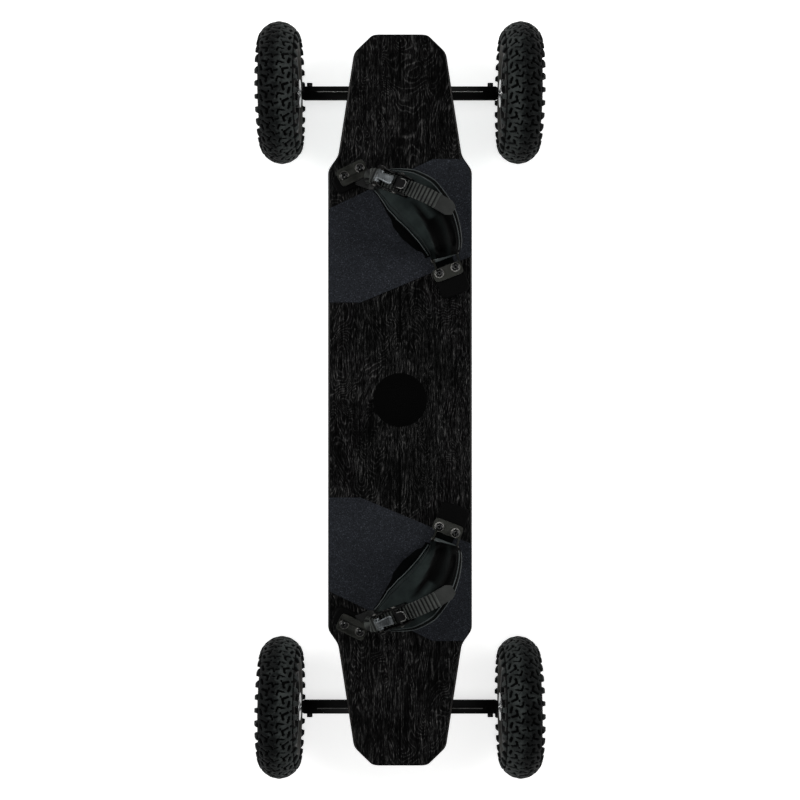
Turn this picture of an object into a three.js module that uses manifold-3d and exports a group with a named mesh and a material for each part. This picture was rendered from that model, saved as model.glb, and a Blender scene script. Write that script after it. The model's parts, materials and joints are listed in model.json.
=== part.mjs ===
// A mountainboard: a laminated deck on two lean-to-steer trucks, four knobbly pneumatic wheels
// and two ratchet foot bindings. Millimetres, +Z up, +Y towards the nose, origin on the ground
// under the middle of the board. The front half is described, and the rear half is turned or
// mirrored from it, as on the real board.
import * as THREE from "three";
import { mergeVertices } from "three/addons/utils/BufferGeometryUtils.js";
import Module from "manifold-3d";

const wasm = await Module();
wasm.setup();

// Driving sizes of the board
const wheelbase = 880;
const wheelTrack = 342;
const deckLength = 1006;
const deckWidth = 201;
const deckThickness = 13.5;

// Clearances
const seatGap = 0.3;
const runningGap = 0.45;
const overrun = 30;
const weld = 1e-4;

// Deck outline and side profile
const waistLength = 642;
const flareLength = 682;
const flareWidth = 173;
const tipShoulderLength = 958;
const tipShoulderWidth = 127;
const tipEndWidth = 75;
const tipCornerReach = 9;
const bendStart = 339;
const bendRadius = 130;
const tipAngle = THREE.MathUtils.degToRad(10);

// Grip pads
const gripThickness = 1.2;
const gripEdgeMargin = 1;
const gripBlockMargin = 0.8;
const gripNearEdge = 136;
const gripFarEdge = 336;
const gripNearRise = 65;
const gripFarDrop = 70;
const gripNearCornerX = -55;
const gripFarCornerX = 46;

// Tyre and inner tube
const tyreRadius = 100;
const tyreWidth = 62;
const tyreShoulderRadius = 79;
const tyreCrownWidth = 20;
const tyreCasingWidth = 54;
const tyreKnobFootRadius = 72;
const tyreKnobHeight = 5;
const tyreKnobCount = 36;
const tyreKnobShare = 0.6;
const tyreBeadRadius = 53;
const tyreBeadWidth = 37;
const tyreWall = 4.5;
const tyreInnerCrownWidth = 38;
const tyreInnerCrownRadius = 81;
const tubeClearance = 0.6;
const tubeSegments = 18;
const tubeHollowSegments = 9;
const tubeHollowFootWidth = 23;
const tubeHollowCrownWidth = 30;
const tubeHollowFootRadius = 59.5;
const tubeHollowCrownRadius = 77;
const valveBore = 1.4;
const valveRadius = 3;
const valveReach = 19;
const valveOffset = 10.5;
const valveHoleClearance = 1;

// Hub
const hubSides = 12;
const hubFlangeRadius = 57;
const hubFlangeOffset = 20.5;
const hubFlangeThickness = 2.2;
const hubSeatClearance = 1.2;
const hubRimWall = 3.3;
const hubDishRadius = 40;
const hubWebThickness = 6;
const hubBarrelRadius = 20;
const hubInnerReach = 25;
const hubOuterReach = 17;
const hubSpokes = 5;
const hubWindowShare = 0.62;
const hubWindowMargin = 3;

// Ball bearings, their spacer and the dust washer
const bearingRadius = 14;
const bearingWidth = 8;
const bearingSpacerRadius = 9;
const dustWasherRadius = 19.5;
const dustWasherThickness = 2;
const dustWasherStandoff = 1;
const roundSides = 10;

// Axle stubs
const axleRadius = 6;
const axleInnerEnd = 62;
const axleNutRadius = 10.5;
const axleNutHeight = 9.5;
const axleTipLength = 1.5;

// Truck geometry, in a frame on the deck's underside above the axle
const axleDrop = 53.5;
const ringInset = 15.2;
const ringRise = 23;
const pivotOutset = 21.1;
const pivotRise = 38.9;
const kingpinLean = THREE.MathUtils.degToRad(8);

// Baseplate
const plateWidth = 57;
const plateInnerReach = 65;
const plateOuterReach = 27;
const plateThickness = 6;
const plateCorner = 6;
const sideWallThickness = 4;
const sideWallDepth = 9;
const sideWallInnerReach = 46;
const sideWallSlope = 12;
const bossRootRadius = 20;
const bossSeatRadius = 16.5;
const bossDepth = 13;
const ribThickness = 3.5;
const ribLength = 44;
const ribAngle = THREE.MathUtils.degToRad(38);
const housingRadius = 13;
const plateBoltSpacingX = 45;
const plateBoltInner = 56.5;
const plateBoltOuter = -1.5;
const plateBoltRadius = 3.9;
const plateBoltHeadRadius = 6.6;
const plateBoltHeadHeight = 5.5;
const boltDepthInDeck = 8;
const boltClearance = 0.45;
const boltSides = 6;

// Kingpin, its washer, nut and bushings
const kingpinRadius = 5;
const kingpinHeadRadius = 9.5;
const kingpinHeadTop = 2.2;
const kingpinHeadHeight = 4.6;
const kingpinTipLength = 3.5;
const kingpinWasherRadius = 12.5;
const kingpinWasherThickness = 2.5;
const kingpinNutRadius = 9.8;
const kingpinNutHeight = 9;
const boardBushingRadius = 15.5;
const roadBushingRootRadius = 14;
const roadBushingTipRadius = 11.5;
const roadBushingHeight = 10;

// Pivot cup and pivot nose
const noseRadius = 7.5;
const noseTipRadius = 4;
const noseTipLength = 2;
const noseStart = 22;
const cupWall = 1.6;
const cupFloor = 2.2;
const cupMouthSetback = 9.5;

// Hanger
const barWidth = 19.4;
const barHeight = 22;
const barSideHeight = 12;
const barRidgeShare = 0.4;
const barHalfLength = 141;
const barEndChamfer = 4;
const barEndShare = 0.8;
const yokeHalfWidth = 25;
const yokeShoulder = 17;
const yokeOuterReach = 14;
const yokeOuterRise = 16;
const yokeNeckReach = 7;
const yokeNeckRise = 31.5;
const yokeInnerReach = 26;
const yokeInnerTopRise = 20;
const yokeInnerBottomRise = 6;
const ringRadius = 18;
const ringThickness = 10;
const ringBoreRadius = 8.5;
const nutRecessHalfWidth = 19;
const nutRecessReach = 15;
const lockScrewPlace = 129.5;
const lockScrewRadius = 3.5;
const lockScrewProud = 5;
const axleBoreClearance = 0.35;

// Binding brackets: each has a frame between its two bolts, x along the foot, y towards the strap
const hingeBracketX = 65.6;
const hingeBracketY = 180;
const hingeBracketAngle = THREE.MathUtils.degToRad(21);
const ratchetBracketX = -66.5;
const ratchetBracketY = 316.2;
const ratchetBracketAngle = THREE.MathUtils.degToRad(206);
const bracketThickness = 2.5;
const bracketLength = 42;
const bracketCorner = 5;
const bracketBackReach = 11;
const bracketBoltSpacing = 24;
const bracketBoltRadius = 3;
const bracketBoltHeadRadius = 4.8;
const bracketBoltHeadHeight = 4;
const bracketWasherRadius = 6.6;
const bracketWasherThickness = 1.4;
const baseBlockHeight = 8;
const baseBlockBevel = 1.5;
const hingeBase = { length: 42, depth: 40, shift: 1, front: 4 };
const ratchetBase = { length: 50, depth: 26, shift: 5, front: 20 };
const ratchetLipReach = 14;
const ratchetLipRise = 3.8;
const ratchetLipStart = 4.5;
const ratchetLipRun = 2.5;

// Hinge bar that the padded strap swings on
const hingeBarShiftX = 3;
const hingeBarReach = 19;
const hingeBarHeight = 15.5;
const hingeBarRadius = 2.6;
const hingeEarSpacing = 34;
const hingeEarThickness = 2.5;
const hingeEarRadius = 4.6;
const hingePlateFront = 7;

// Padded strap
const strapWidth = 76;
const strapThickness = 12;
const strapArchHeight = 77;
const strapEndX = -31;
const strapEndY = 298;
const strapLoopRadius = 6.4;
const strapLoopLength = 30;
const strapStations = 16;
const strapRecessDepth = 2.2;
// Each row: share of the way across, along, up the arch, of the width and of the thickness
const strapShares = [
  [0, 0, 0, 0.56, 0.62],
  [0.05, 0.17, 0.46, 0.74, 0.85],
  [0.2, 0.42, 0.87, 0.92, 1],
  [0.43, 0.67, 0.98, 1, 0.95],
  [0.64, 0.83, 0.8, 0.88, 0.75],
  [0.84, 0.94, 0.62, 0.68, 0.55],
  [1, 1, 0.42, 0.46, 0.45],
];
// Section of the pad as shares of its half width and half thickness, the recess at the eighth
const strapSectionShares = [
  [-1, 0.1],
  [-0.9, -0.75],
  [-0.45, -1],
  [0.45, -1],
  [0.9, -0.75],
  [1, 0.1],
  [0.86, 0.75],
  [0.45, 1],
  [0.05, 1],
  [-0.4, 1],
  [-0.86, 0.75],
];
const strapRecessPoint = 8;

// Ratchet buckle, in a frame on the ladder's mid-plane: x along the ladder, z off the strap
const buckleX = -9;
const buckleY = 292;
const buckleHeight = 67.3;
const buckleHeading = THREE.MathUtils.degToRad(-25);
const buckleSlope = THREE.MathUtils.degToRad(29.5);
const buckleLength = 54;
const buckleWall = 2;
const buckleFloorThickness = 2;
const buckleSideClearance = 0.7;
const buckleLowWallHeight = 3.5;
const buckleRearHump = 14;
const buckleFrontHump = 12;
const buckleHumpWidth = 10;
const leverPinX = -19;
const leverPinZ = 9;
const releasePinX = 13;
const releasePinZ = 8;
const bucklePinRadius = 2.2;
const bucklePinProud = 1.2;
const leverBarrelRadius = 4.6;
const leverThickness = 2.5;
const leverWidth = 18;
const leverReach = 26;
const leverTopZ = 5.2;
const leverToothRadius = 6.2;
const leverToothThickness = 3;
const releaseBarrelRadius = 4.2;
const releaseWidth = 16;
const releaseTabReach = 14;
const releaseTabRise = 3.4;
const releaseTabThickness = 2.2;
const pawlReach = 9;
const pawlTipDrop = 5;

// Ladder strap
const ladderWidth = 21;
const ladderThickness = 2.6;
const ladderRibHeight = 1.5;
const ladderRibPitch = 5.2;
const ladderRibStep = 0.7;
const ladderRootRun = 18;
const ladderPlainTip = 22;
const ladderPlainRoot = 36;
const ladderTipTaperShare = 0.55;
const ladderRootInset = 10;
const ladderRootShiftX = -4;
const ladderRootHeading = THREE.MathUtils.degToRad(-20);
const ladderRootPull = 12;
const ladderEntryPull = 16;
const ladderExitPull = 30;
const ladderTipPull = 22;
const ladderTipStationShare = 0.33;
const ladderTipSideShare = 0.43;
const ladderTipLift = 12.5;
const ladderTipSlope = THREE.MathUtils.degToRad(-20);
const ladderStep = 6;
const ladderStraightMargin = 4;

// Finishes
const finish = {
  deckWood: { color: 0x1d1b1a, roughness: 0.45, metalness: 0 },
  grip: { color: 0x20242b, roughness: 0.95, metalness: 0 },
  blackMetal: { color: 0x0b0b0c, roughness: 0.35, metalness: 0.6 },
  steel: { color: 0xa9aaab, roughness: 0.3, metalness: 1 },
  urethane: { color: 0x151515, roughness: 0.5, metalness: 0 },
  rubber: { color: 0x232524, roughness: 0.85, metalness: 0 },
  hubPlastic: { color: 0x121212, roughness: 0.4, metalness: 0 },
  baseRubber: { color: 0x050505, roughness: 0.7, metalness: 0 },
  bracketSteel: { color: 0x3a3936, roughness: 0.45, metalness: 0.8 },
  strapFabric: { color: 0x262b2b, roughness: 0.8, metalness: 0 },
  ladderPlastic: { color: 0x3f423f, roughness: 0.5, metalness: 0 },
  leverAlloy: { color: 0x6a6b6c, roughness: 0.35, metalness: 0.9 },
};

const X = new THREE.Vector3(1, 0, 0);
const Y = new THREE.Vector3(0, 1, 0);
const Z = new THREE.Vector3(0, 0, 1);

// A closed geometry as a solid with its faces outwards.
function solidOf(geometry) {
  const bare = geometry.index ? geometry.toNonIndexed() : geometry.clone();
  for (const name of ["normal", "uv"]) bare.deleteAttribute(name);
  const merged = mergeVertices(bare, weld);
  const corners = Uint32Array.from(merged.index.array);
  const build = () =>
    new wasm.Manifold(
      new wasm.Mesh({ numProp: 3, vertProperties: merged.attributes.position.array, triVerts: corners }),
    );
  const made = build();
  if (made.volume() >= 0) return made;
  for (let i = 0; i < corners.length; i += 3)
    [corners[i + 1], corners[i + 2]] = [corners[i + 2], corners[i + 1]];
  return build();
}

function geometryOf(solid) {
  const { vertProperties, triVerts } = solid.getMesh();
  return new THREE.BufferGeometry()
    .setAttribute("position", new THREE.BufferAttribute(vertProperties, 3))
    .setIndex(new THREE.BufferAttribute(triVerts, 1));
}

const joined = (...parts) => geometryOf(parts.map(solidOf).reduce((all, next) => all.add(next)));
const carved = (body, ...tools) =>
  geometryOf(tools.map(solidOf).reduce((left, tool) => left.subtract(tool), solidOf(body)));
const common = (...parts) => geometryOf(parts.map(solidOf).reduce((all, next) => all.intersect(next)));

// A geometry whose +Z is laid along a direction, with its origin at a point.
function along(geometry, point, direction) {
  const turn = new THREE.Quaternion().setFromUnitVectors(Z, direction.clone().normalize());
  return geometry.clone().applyMatrix4(new THREE.Matrix4().compose(point, turn, new THREE.Vector3(1, 1, 1)));
}

const moved = (geometry, x, y, z) => geometry.clone().translate(x, y, z);

// A box between two corners.
function boxBetween(low, high) {
  const size = high.clone().sub(low);
  const middle = low.clone().add(high).multiplyScalar(0.5);
  return new THREE.BoxGeometry(size.x, size.y, size.z).translate(middle.x, middle.y, middle.z);
}

// A rod standing on z = 0.
function rod(radius, length, sides = roundSides, tipRadius = radius) {
  return new THREE.CylinderGeometry(tipRadius, radius, length, sides)
    .rotateX(Math.PI / 2)
    .translate(0, 0, length / 2);
}

// A profile of [radius, height] pairs turned about Z. A profile off the axis is closed into a ring.
function turned(profile, sides = roundSides) {
  const points = profile.map(([r, z]) => new THREE.Vector2(r, z));
  if (profile[0][0] > 0) points.push(points[0].clone());
  return new THREE.LatheGeometry(points, sides).rotateX(Math.PI / 2);
}

// A plan outline raised from z = 0.
function raised(points, height) {
  const shape = new THREE.Shape(points.map(([x, y]) => new THREE.Vector2(x, y)));
  return new THREE.ExtrudeGeometry(shape, { depth: height, bevelEnabled: false });
}

// A side outline of [y, z] pairs given a width along X, centred on x = 0.
function acrossX(points, width) {
  return raised(points, width)
    .applyMatrix4(new THREE.Matrix4().makeBasis(Y, Z, X))
    .translate(-width / 2, 0, 0);
}

// A side outline of [x, z] pairs given a width along Y, centred on y = 0.
function acrossY(points, width) {
  return raised(points, width)
    .applyMatrix4(new THREE.Matrix4().makeBasis(X, Z, Y.clone().negate()))
    .translate(0, width / 2, 0);
}

// Triangles between two closed rings, one of which may have a whole number of times more points.
function band(a, b) {
  if (a.length < b.length) return band(b, a).map(([p, q, r]) => [p, r, q]);
  const ratio = a.length / b.length;
  const faces = [];
  b.forEach((here, i) => {
    const first = i * ratio;
    for (let j = first; j < first + ratio; j++) faces.push([a[j], a[(j + 1) % a.length], here]);
    faces.push([a[(first + ratio) % a.length], b[(i + 1) % b.length], here]);
  });
  return faces;
}

function geometryFromFaces(faces) {
  return new THREE.BufferGeometry().setFromPoints(faces.flat());
}

// Rings joined one to the next and the last to the first.
function looped(rings) {
  return geometryFromFaces(rings.flatMap((ring, i) => band(ring, rings[(i + 1) % rings.length])));
}

// Rings joined one to the next, with flat ends.
function lofted(rings) {
  const cap = (ring) => ring.slice(2).map((corner, i) => [ring[0], ring[i + 1], corner]);
  const walls = rings.slice(1).flatMap((ring, i) => band(ring, rings[i]));
  const end = cap(rings.at(-1)).map(([p, q, r]) => [p, r, q]);
  return geometryFromFaces([...walls, ...cap(rings[0]), ...end]);
}

// Outline corners cut back by a reach and rounded with a quadratic curve.
function rounded(points, reach, steps = 3) {
  const corners = points.map(([x, y]) => new THREE.Vector2(x, y));
  return corners.flatMap((corner, i) => {
    const before = corners.at(i - 1).clone().sub(corner).setLength(reach).add(corner);
    const after = corners[(i + 1) % corners.length].clone().sub(corner).setLength(reach).add(corner);
    return new THREE.QuadraticBezierCurve(before, corner, after).getPoints(steps).map((p) => [p.x, p.y]);
  });
}

function rectangle(left, right, back, front) {
  return [
    [left, back],
    [right, back],
    [right, front],
    [left, front],
  ];
}

// Heights that follow from the trucks
const knobPitch = (2 * Math.PI) / tyreKnobCount;
const axleHeight = tyreRadius * Math.cos((knobPitch * (1 - tyreKnobShare)) / 2);
const truckY = wheelbase / 2 - axleDrop * Math.sin(tipAngle);
const truckZ = axleHeight + axleDrop * Math.cos(tipAngle);
const bendEnd = bendStart + bendRadius * Math.sin(tipAngle);
const bendRise = bendRadius * (1 - Math.cos(tipAngle));
const deckUnderside = truckZ - bendRise - (truckY - bendEnd) * Math.tan(tipAngle);
const deckTop = deckUnderside + deckThickness;

const truckFrame = new THREE.Matrix4()
  .makeTranslation(0, truckY, truckZ)
  .multiply(new THREE.Matrix4().makeRotationX(tipAngle));
const halfTurn = new THREE.Matrix4().makeRotationZ(Math.PI);
const mirrorY = new THREE.Matrix4().makeScale(1, -1, 1);

function bracketFrame(x, y, angle) {
  return new THREE.Matrix4()
    .makeTranslation(x, y, deckTop)
    .multiply(new THREE.Matrix4().makeRotationZ(angle));
}
const hingeFrame = bracketFrame(hingeBracketX, hingeBracketY, hingeBracketAngle);
const ratchetFrame = bracketFrame(ratchetBracketX, ratchetBracketY, ratchetBracketAngle);

// Deck: the plan outline of the board and its side profile, each given depth, share one solid
function deckOutline(inset = 0) {
  const quarter = [
    [deckWidth / 2, waistLength / 2],
    [flareWidth / 2, flareLength / 2],
    [tipShoulderWidth / 2, tipShoulderLength / 2],
    [tipEndWidth / 2, deckLength / 2],
  ].map(([x, y]) => [x - inset, y - inset]);
  const right = [...quarter.map(([x, y]) => [x, -y]).reverse(), ...quarter];
  const left = right.map(([x, y]) => [-x, -y]);
  return [...right, ...left];
}

function deckCorners(inset) {
  return rounded(deckOutline(inset), tipCornerReach, 1);
}

// The line of the deck's side at an offset above its underside, from the tail to the nose.
function deckLine(offset) {
  const arcSteps = [0, 0.5, 1];
  const bend = arcSteps.map((share) => {
    const angle = share * tipAngle;
    const radius = bendRadius - offset;
    return [bendStart + radius * Math.sin(angle), deckUnderside + offset + radius * (1 - Math.cos(angle))];
  });
  const [lastY, lastZ] = bend.at(-1);
  const run = deckLength / 2 + overrun - lastY;
  const half = [...bend, [lastY + run, lastZ + run * Math.tan(tipAngle)]];
  return [...half.map(([y, z]) => [-y, z]).reverse(), ...half];
}

const plateBoltPlaces = [-1, 1].flatMap((side) =>
  [plateBoltInner, plateBoltOuter].map((inset) => [(side * plateBoltSpacingX) / 2, -inset]),
);
const bracketBoltPlaces = [-bracketBoltSpacing / 2, bracketBoltSpacing / 2];

function deck() {
  const plan = raised(deckCorners(0), axleHeight + deckTop);
  const side = acrossX([...deckLine(0), ...deckLine(deckThickness).reverse()], deckWidth + overrun);
  const truckHoles = plateBoltPlaces.map(([x, y]) =>
    moved(
      rod(plateBoltRadius + boltClearance, boltDepthInDeck + seatGap + overrun, boltSides),
      x,
      y,
      -overrun,
    ).applyMatrix4(truckFrame),
  );
  const bracketHoles = [hingeFrame, ratchetFrame].flatMap((frame) =>
    bracketBoltPlaces.map((x) =>
      moved(
        rod(bracketBoltRadius + boltClearance, boltDepthInDeck + seatGap + overrun, boltSides),
        x,
        0,
        -boltDepthInDeck - seatGap,
      ).applyMatrix4(frame),
    ),
  );
  const holes = [
    ...truckHoles,
    ...truckHoles.map((hole) => hole.clone().applyMatrix4(halfTurn)),
    ...bracketHoles,
    ...bracketHoles.map((hole) => hole.clone().applyMatrix4(mirrorY)),
  ];
  return carved(common(plan, side), ...holes);
}

// Grip pad: a slab with slanting ends that runs out to the deck's edge
function gripPad() {
  const outside = deckWidth;
  const slope = gripNearRise / (deckWidth / 2 - gripNearCornerX);
  const farSlope = gripFarDrop / (gripFarCornerX + deckWidth / 2);
  const outline = [
    [gripFarCornerX, gripFarEdge],
    [outside, gripFarEdge],
    [outside, gripNearEdge + slope * (outside - gripNearCornerX)],
    [gripNearCornerX, gripNearEdge],
    [-outside, gripNearEdge],
    [-outside, gripFarEdge - farSlope * (gripFarCornerX + outside)],
  ];
  const slab = moved(raised(outline, gripThickness), 0, 0, deckTop + seatGap);
  const block = raised(blockPlan(hingeBase, -gripBlockMargin), overrun).applyMatrix4(hingeFrame);
  return carved(common(slab, raised(deckCorners(gripEdgeMargin), deckTop + overrun)), block);
}

// Tyre: rings of points about the X axis, the tread's rings stepping between knobs and gaps
function wheelRing(angles, offset, radius) {
  return angles.map(
    (angle, i) =>
      new THREE.Vector3(
        Array.isArray(offset) ? offset[i % offset.length] : offset,
        (Array.isArray(radius) ? radius[i % radius.length] : radius) * Math.sin(angle),
        -(Array.isArray(radius) ? radius[i % radius.length] : radius) * Math.cos(angle),
      ),
  );
}

const evenAngles = (count) => Array.from({ length: count }, (_, i) => (i * 2 * Math.PI) / count);

function tyre() {
  const halfKnob = (knobPitch * tyreKnobShare) / 2;
  const knobFirst = [-halfKnob, halfKnob, knobPitch / 2];
  const gapFirst = [0, knobPitch / 2 - halfKnob, knobPitch / 2 + halfKnob];
  const spread = (pattern) =>
    evenAngles(tyreKnobCount).flatMap((start) => pattern.map((angle) => start + angle));
  const casing = tyreCasingWidth / 2;
  const edge = tyreWidth / 2;
  const crown = tyreCrownWidth / 2;
  const knobSide = (side, angles, order) => [
    wheelRing(evenAngles(tyreKnobCount), side * casing, tyreKnobFootRadius),
    wheelRing(
      angles,
      order([side * edge, side * edge, side * casing]),
      order([tyreShoulderRadius, tyreShoulderRadius, tyreShoulderRadius - tyreKnobHeight]),
    ),
    wheelRing(angles, side * crown, order([tyreRadius, tyreRadius, tyreRadius - tyreKnobHeight])),
  ];
  const inner = knobSide(-1, spread(knobFirst), (values) => values);
  const outer = knobSide(1, spread(gapFirst), ([a, b, gap]) => [gap, a, b]);
  const bead = tyreBeadWidth / 2;
  const beadRing = (side) => wheelRing(evenAngles(tyreKnobCount), side * bead, tyreBeadRadius);
  const inside = evenAngles(tubeSegments);
  const lining = tyreLining().map(([offset, radius]) => wheelRing(inside, offset, radius));
  return looped([beadRing(-1), ...inner, ...outer.reverse(), beadRing(1), ...lining]);
}

// The inside of the casing as [offset, radius] pairs from the outer bead to the inner one.
function tyreLining(shrink = 0) {
  const half = [
    [tyreBeadWidth / 2 - tyreWall - shrink, tyreBeadRadius + shrink],
    [tyreInnerCrownWidth / 2 - shrink, tyreInnerCrownRadius - shrink],
  ];
  return [...half, ...half.map(([offset, radius]) => [-offset, radius]).reverse()];
}

function innerTube() {
  const skin = tyreLining(tubeClearance).map(([offset, radius]) =>
    wheelRing(evenAngles(tubeSegments), offset, radius),
  );
  const hollow = [
    [tubeHollowFootWidth / 2, tubeHollowFootRadius],
    [tubeHollowCrownWidth / 2, tubeHollowCrownRadius],
    [-tubeHollowCrownWidth / 2, tubeHollowCrownRadius],
    [-tubeHollowFootWidth / 2, tubeHollowFootRadius],
  ].map(([offset, radius]) => wheelRing(evenAngles(tubeHollowSegments), offset, radius));
  const root = new THREE.Vector3(valveOffset, tyreBeadRadius + valveRadius, 0);
  const inward = Y.clone().negate();
  const valve = along(rod(valveRadius, valveReach, boltSides), root, inward);
  const airwayTop = root.clone().setY(tubeHollowCrownRadius - overrun / 2);
  const airway = along(rod(valveBore, valveReach + overrun, boltSides), airwayTop, inward);
  return carved(joined(looped(skin), valve), looped(hollow), airway);
}

// Hub half: rim flange, dished web with windows between the spokes, and a barrel for the bearing
function hubHalf(barrelReach, hasValveHole) {
  const flangeEnd = hubFlangeOffset + hubFlangeThickness;
  const seatRadius = tyreBeadRadius - hubSeatClearance;
  const facetShare = Math.cos(Math.PI / hubSides);
  const pocket = (bearingRadius + seatGap) / facetShare;
  const bore = (bearingSpacerRadius + runningGap) / facetShare;
  const profile = [
    [bore, seatGap / 2],
    [seatRadius, seatGap / 2],
    [seatRadius, hubFlangeOffset],
    [hubFlangeRadius, hubFlangeOffset],
    [hubFlangeRadius, flangeEnd],
    [seatRadius - hubRimWall, flangeEnd],
    [hubDishRadius, hubWebThickness],
    [hubBarrelRadius, hubWebThickness],
    [hubBarrelRadius, barrelReach],
    [pocket, barrelReach],
    [pocket, barrelReach - bearingWidth],
    [bore, barrelReach - bearingWidth],
  ];
  const windowInner = hubBarrelRadius + hubWindowMargin;
  const windowOuter = hubDishRadius - hubWindowMargin;
  const windowHalf = (Math.PI / hubSpokes) * hubWindowShare;
  const arc = (radius, shares) =>
    shares.map((share) => [radius * Math.cos(share * windowHalf), radius * Math.sin(share * windowHalf)]);
  const window = raised([...arc(windowInner, [1, -1]), ...arc(windowOuter, [-1, 1])], hubFlangeRadius);
  const windows = evenAngles(hubSpokes).map((angle) =>
    window.clone().rotateZ(angle + Math.PI / 2).translate(0, 0, -overrun),
  );
  const valveHole = along(
    rod(valveRadius + valveHoleClearance, valveReach + overrun, boltSides),
    new THREE.Vector3(0, tyreBeadRadius + valveRadius, valveOffset),
    Y.clone().negate(),
  );
  const tools = hasValveHole ? [...windows, valveHole] : windows;
  return carved(turned(profile, hubSides), ...tools).rotateY(Math.PI / 2);
}

// Ball bearings at both ends of the hub on one spacer tube, with the dust washer at the inner end
function bearingSet() {
  const race = bearingRadius;
  const bore = axleRadius + runningGap;
  const inner = -hubInnerReach;
  const washer = inner - dustWasherStandoff;
  return turned([
    [bore, washer - dustWasherThickness],
    [dustWasherRadius, washer - dustWasherThickness],
    [dustWasherRadius, washer],
    [race, washer],
    [race, inner + bearingWidth - seatGap],
    [bearingSpacerRadius, inner + bearingWidth - seatGap],
    [bearingSpacerRadius, hubOuterReach - bearingWidth + seatGap],
    [race, hubOuterReach - bearingWidth + seatGap],
    [race, hubOuterReach],
    [bore, hubOuterReach],
  ]).rotateY(Math.PI / 2);
}

// Axle stub: it is held in the hanger's bar and carries the wheel, with its washer and locknut
function axleStub() {
  const wheelMiddle = wheelTrack / 2;
  const nut = wheelMiddle + hubOuterReach + seatGap;
  const tip = nut + axleNutHeight + axleTipLength;
  const shaft = turned([
    [0, axleInnerEnd],
    [axleRadius, axleInnerEnd],
    [axleRadius, tip],
    [0, tip],
  ]);
  return joined(shaft, moved(rod(axleNutRadius, axleNutHeight, boltSides), 0, 0, nut)).rotateY(Math.PI / 2);
}

// Truck lines: the kingpin's axis and the steering axis cross at the middle of the hanger's ring
const ringCentre = new THREE.Vector3(0, -ringInset, ringRise - axleDrop);
const pivotPoint = new THREE.Vector3(0, pivotOutset, pivotRise - axleDrop);
const steerDirection = pivotPoint.clone().sub(ringCentre).normalize();
const pivotReach = pivotPoint.distanceTo(ringCentre);
const kingpinDirection = new THREE.Vector3(0, Math.sin(kingpinLean), -Math.cos(kingpinLean));
const ringDepth = (axleDrop - ringRise) / Math.cos(kingpinLean);
const kingpinRoot = ringCentre.clone().addScaledVector(kingpinDirection, -ringDepth);
const onKingpin = (geometry) => along(geometry, kingpinRoot, kingpinDirection);
const onSteerAxis = (geometry) => along(geometry, ringCentre, steerDirection);

// Depths along the kingpin, from the deck's underside to the road
const ringTop = ringDepth - ringThickness / 2;
const ringBottom = ringDepth + ringThickness / 2;
const roadWasherTop = ringBottom + seatGap + roadBushingHeight + seatGap;
const kingpinNutTop = roadWasherTop + kingpinWasherThickness + seatGap;
const kingpinTip = kingpinNutTop + kingpinNutHeight + kingpinTipLength;
const cupMouth = pivotReach - cupMouthSetback;
const cupBottom = pivotReach + seatGap + cupFloor;
const cupRadius = noseRadius + runningGap + cupWall;

function baseplate() {
  const plateBottom = -seatGap - plateThickness;
  const plan = rounded(
    rectangle(-plateWidth / 2, plateWidth / 2, -plateInnerReach, plateOuterReach),
    plateCorner,
    1,
  );
  const plate = moved(raised(plan, plateThickness), 0, 0, plateBottom);
  const wallBottom = plateBottom - sideWallDepth;
  const wallOutline = [
    [-sideWallInnerReach - sideWallSlope, plateBottom + sideWallThickness],
    [-sideWallInnerReach, wallBottom],
    [plateOuterReach - sideWallSlope, wallBottom],
    [plateOuterReach - sideWallThickness, plateBottom + sideWallThickness],
  ];
  const walls = [-1, 1].map((side) =>
    moved(acrossX(wallOutline, sideWallThickness), (side * (plateWidth - sideWallThickness)) / 2, 0, 0),
  );
  const boss = onKingpin(rod(bossRootRadius, bossDepth, roundSides, bossSeatRadius));
  const ribs = [-1, 1].map((side) =>
    boxBetween(
      new THREE.Vector3(-ribThickness / 2, -ribLength, -bossDepth + ribThickness),
      new THREE.Vector3(ribThickness / 2, 0, -seatGap - ribThickness),
    )
      .rotateZ(side * ribAngle)
      .translate(0, kingpinRoot.y, 0),
  );
  const housing = onSteerAxis(moved(rod(housingRadius, overrun), 0, 0, cupMouth));
  const room = boxBetween(
    new THREE.Vector3(-plateWidth / 2, -plateInnerReach, -axleDrop),
    new THREE.Vector3(plateWidth / 2, plateOuterReach, -seatGap),
  );
  const casting = common(joined(plate, ...walls, boss, ...ribs, housing), room);
  const bolts = plateBoltPlaces.flatMap(([x, y]) => [
    moved(
      rod(plateBoltHeadRadius, plateBoltHeadHeight + seatGap, boltSides),
      x,
      y,
      plateBottom - plateBoltHeadHeight,
    ),
    moved(rod(plateBoltRadius, boltDepthInDeck + plateThickness, boltSides), x, y, -plateThickness),
  ]);
  const kingpinBore = onKingpin(rod(kingpinRadius + runningGap, bossDepth + overrun));
  const headPocket = onKingpin(
    moved(
      rod(kingpinHeadRadius + runningGap, kingpinHeadTop + kingpinHeadHeight + seatGap + overrun),
      0,
      0,
      -overrun,
    ),
  );
  const socket = onSteerAxis(
    moved(rod(cupRadius + seatGap, cupBottom + seatGap - cupMouth + overrun), 0, 0, cupMouth - overrun),
  );
  return joined(carved(casting, kingpinBore, headPocket, socket), ...bolts);
}

function pivotCup() {
  const bore = noseRadius + runningGap;
  return onSteerAxis(
    turned([
      [0, pivotReach + seatGap],
      [bore, pivotReach + seatGap],
      [bore, cupMouth],
      [cupRadius, cupMouth],
      [cupRadius, cupBottom],
      [0, cupBottom],
    ]),
  );
}

function bushing(rootRadius, tipRadius, start, end) {
  const bore = kingpinRadius + runningGap;
  return onKingpin(
    turned([
      [bore, start],
      [rootRadius, start],
      [tipRadius, end],
      [bore, end],
    ]),
  );
}

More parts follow.
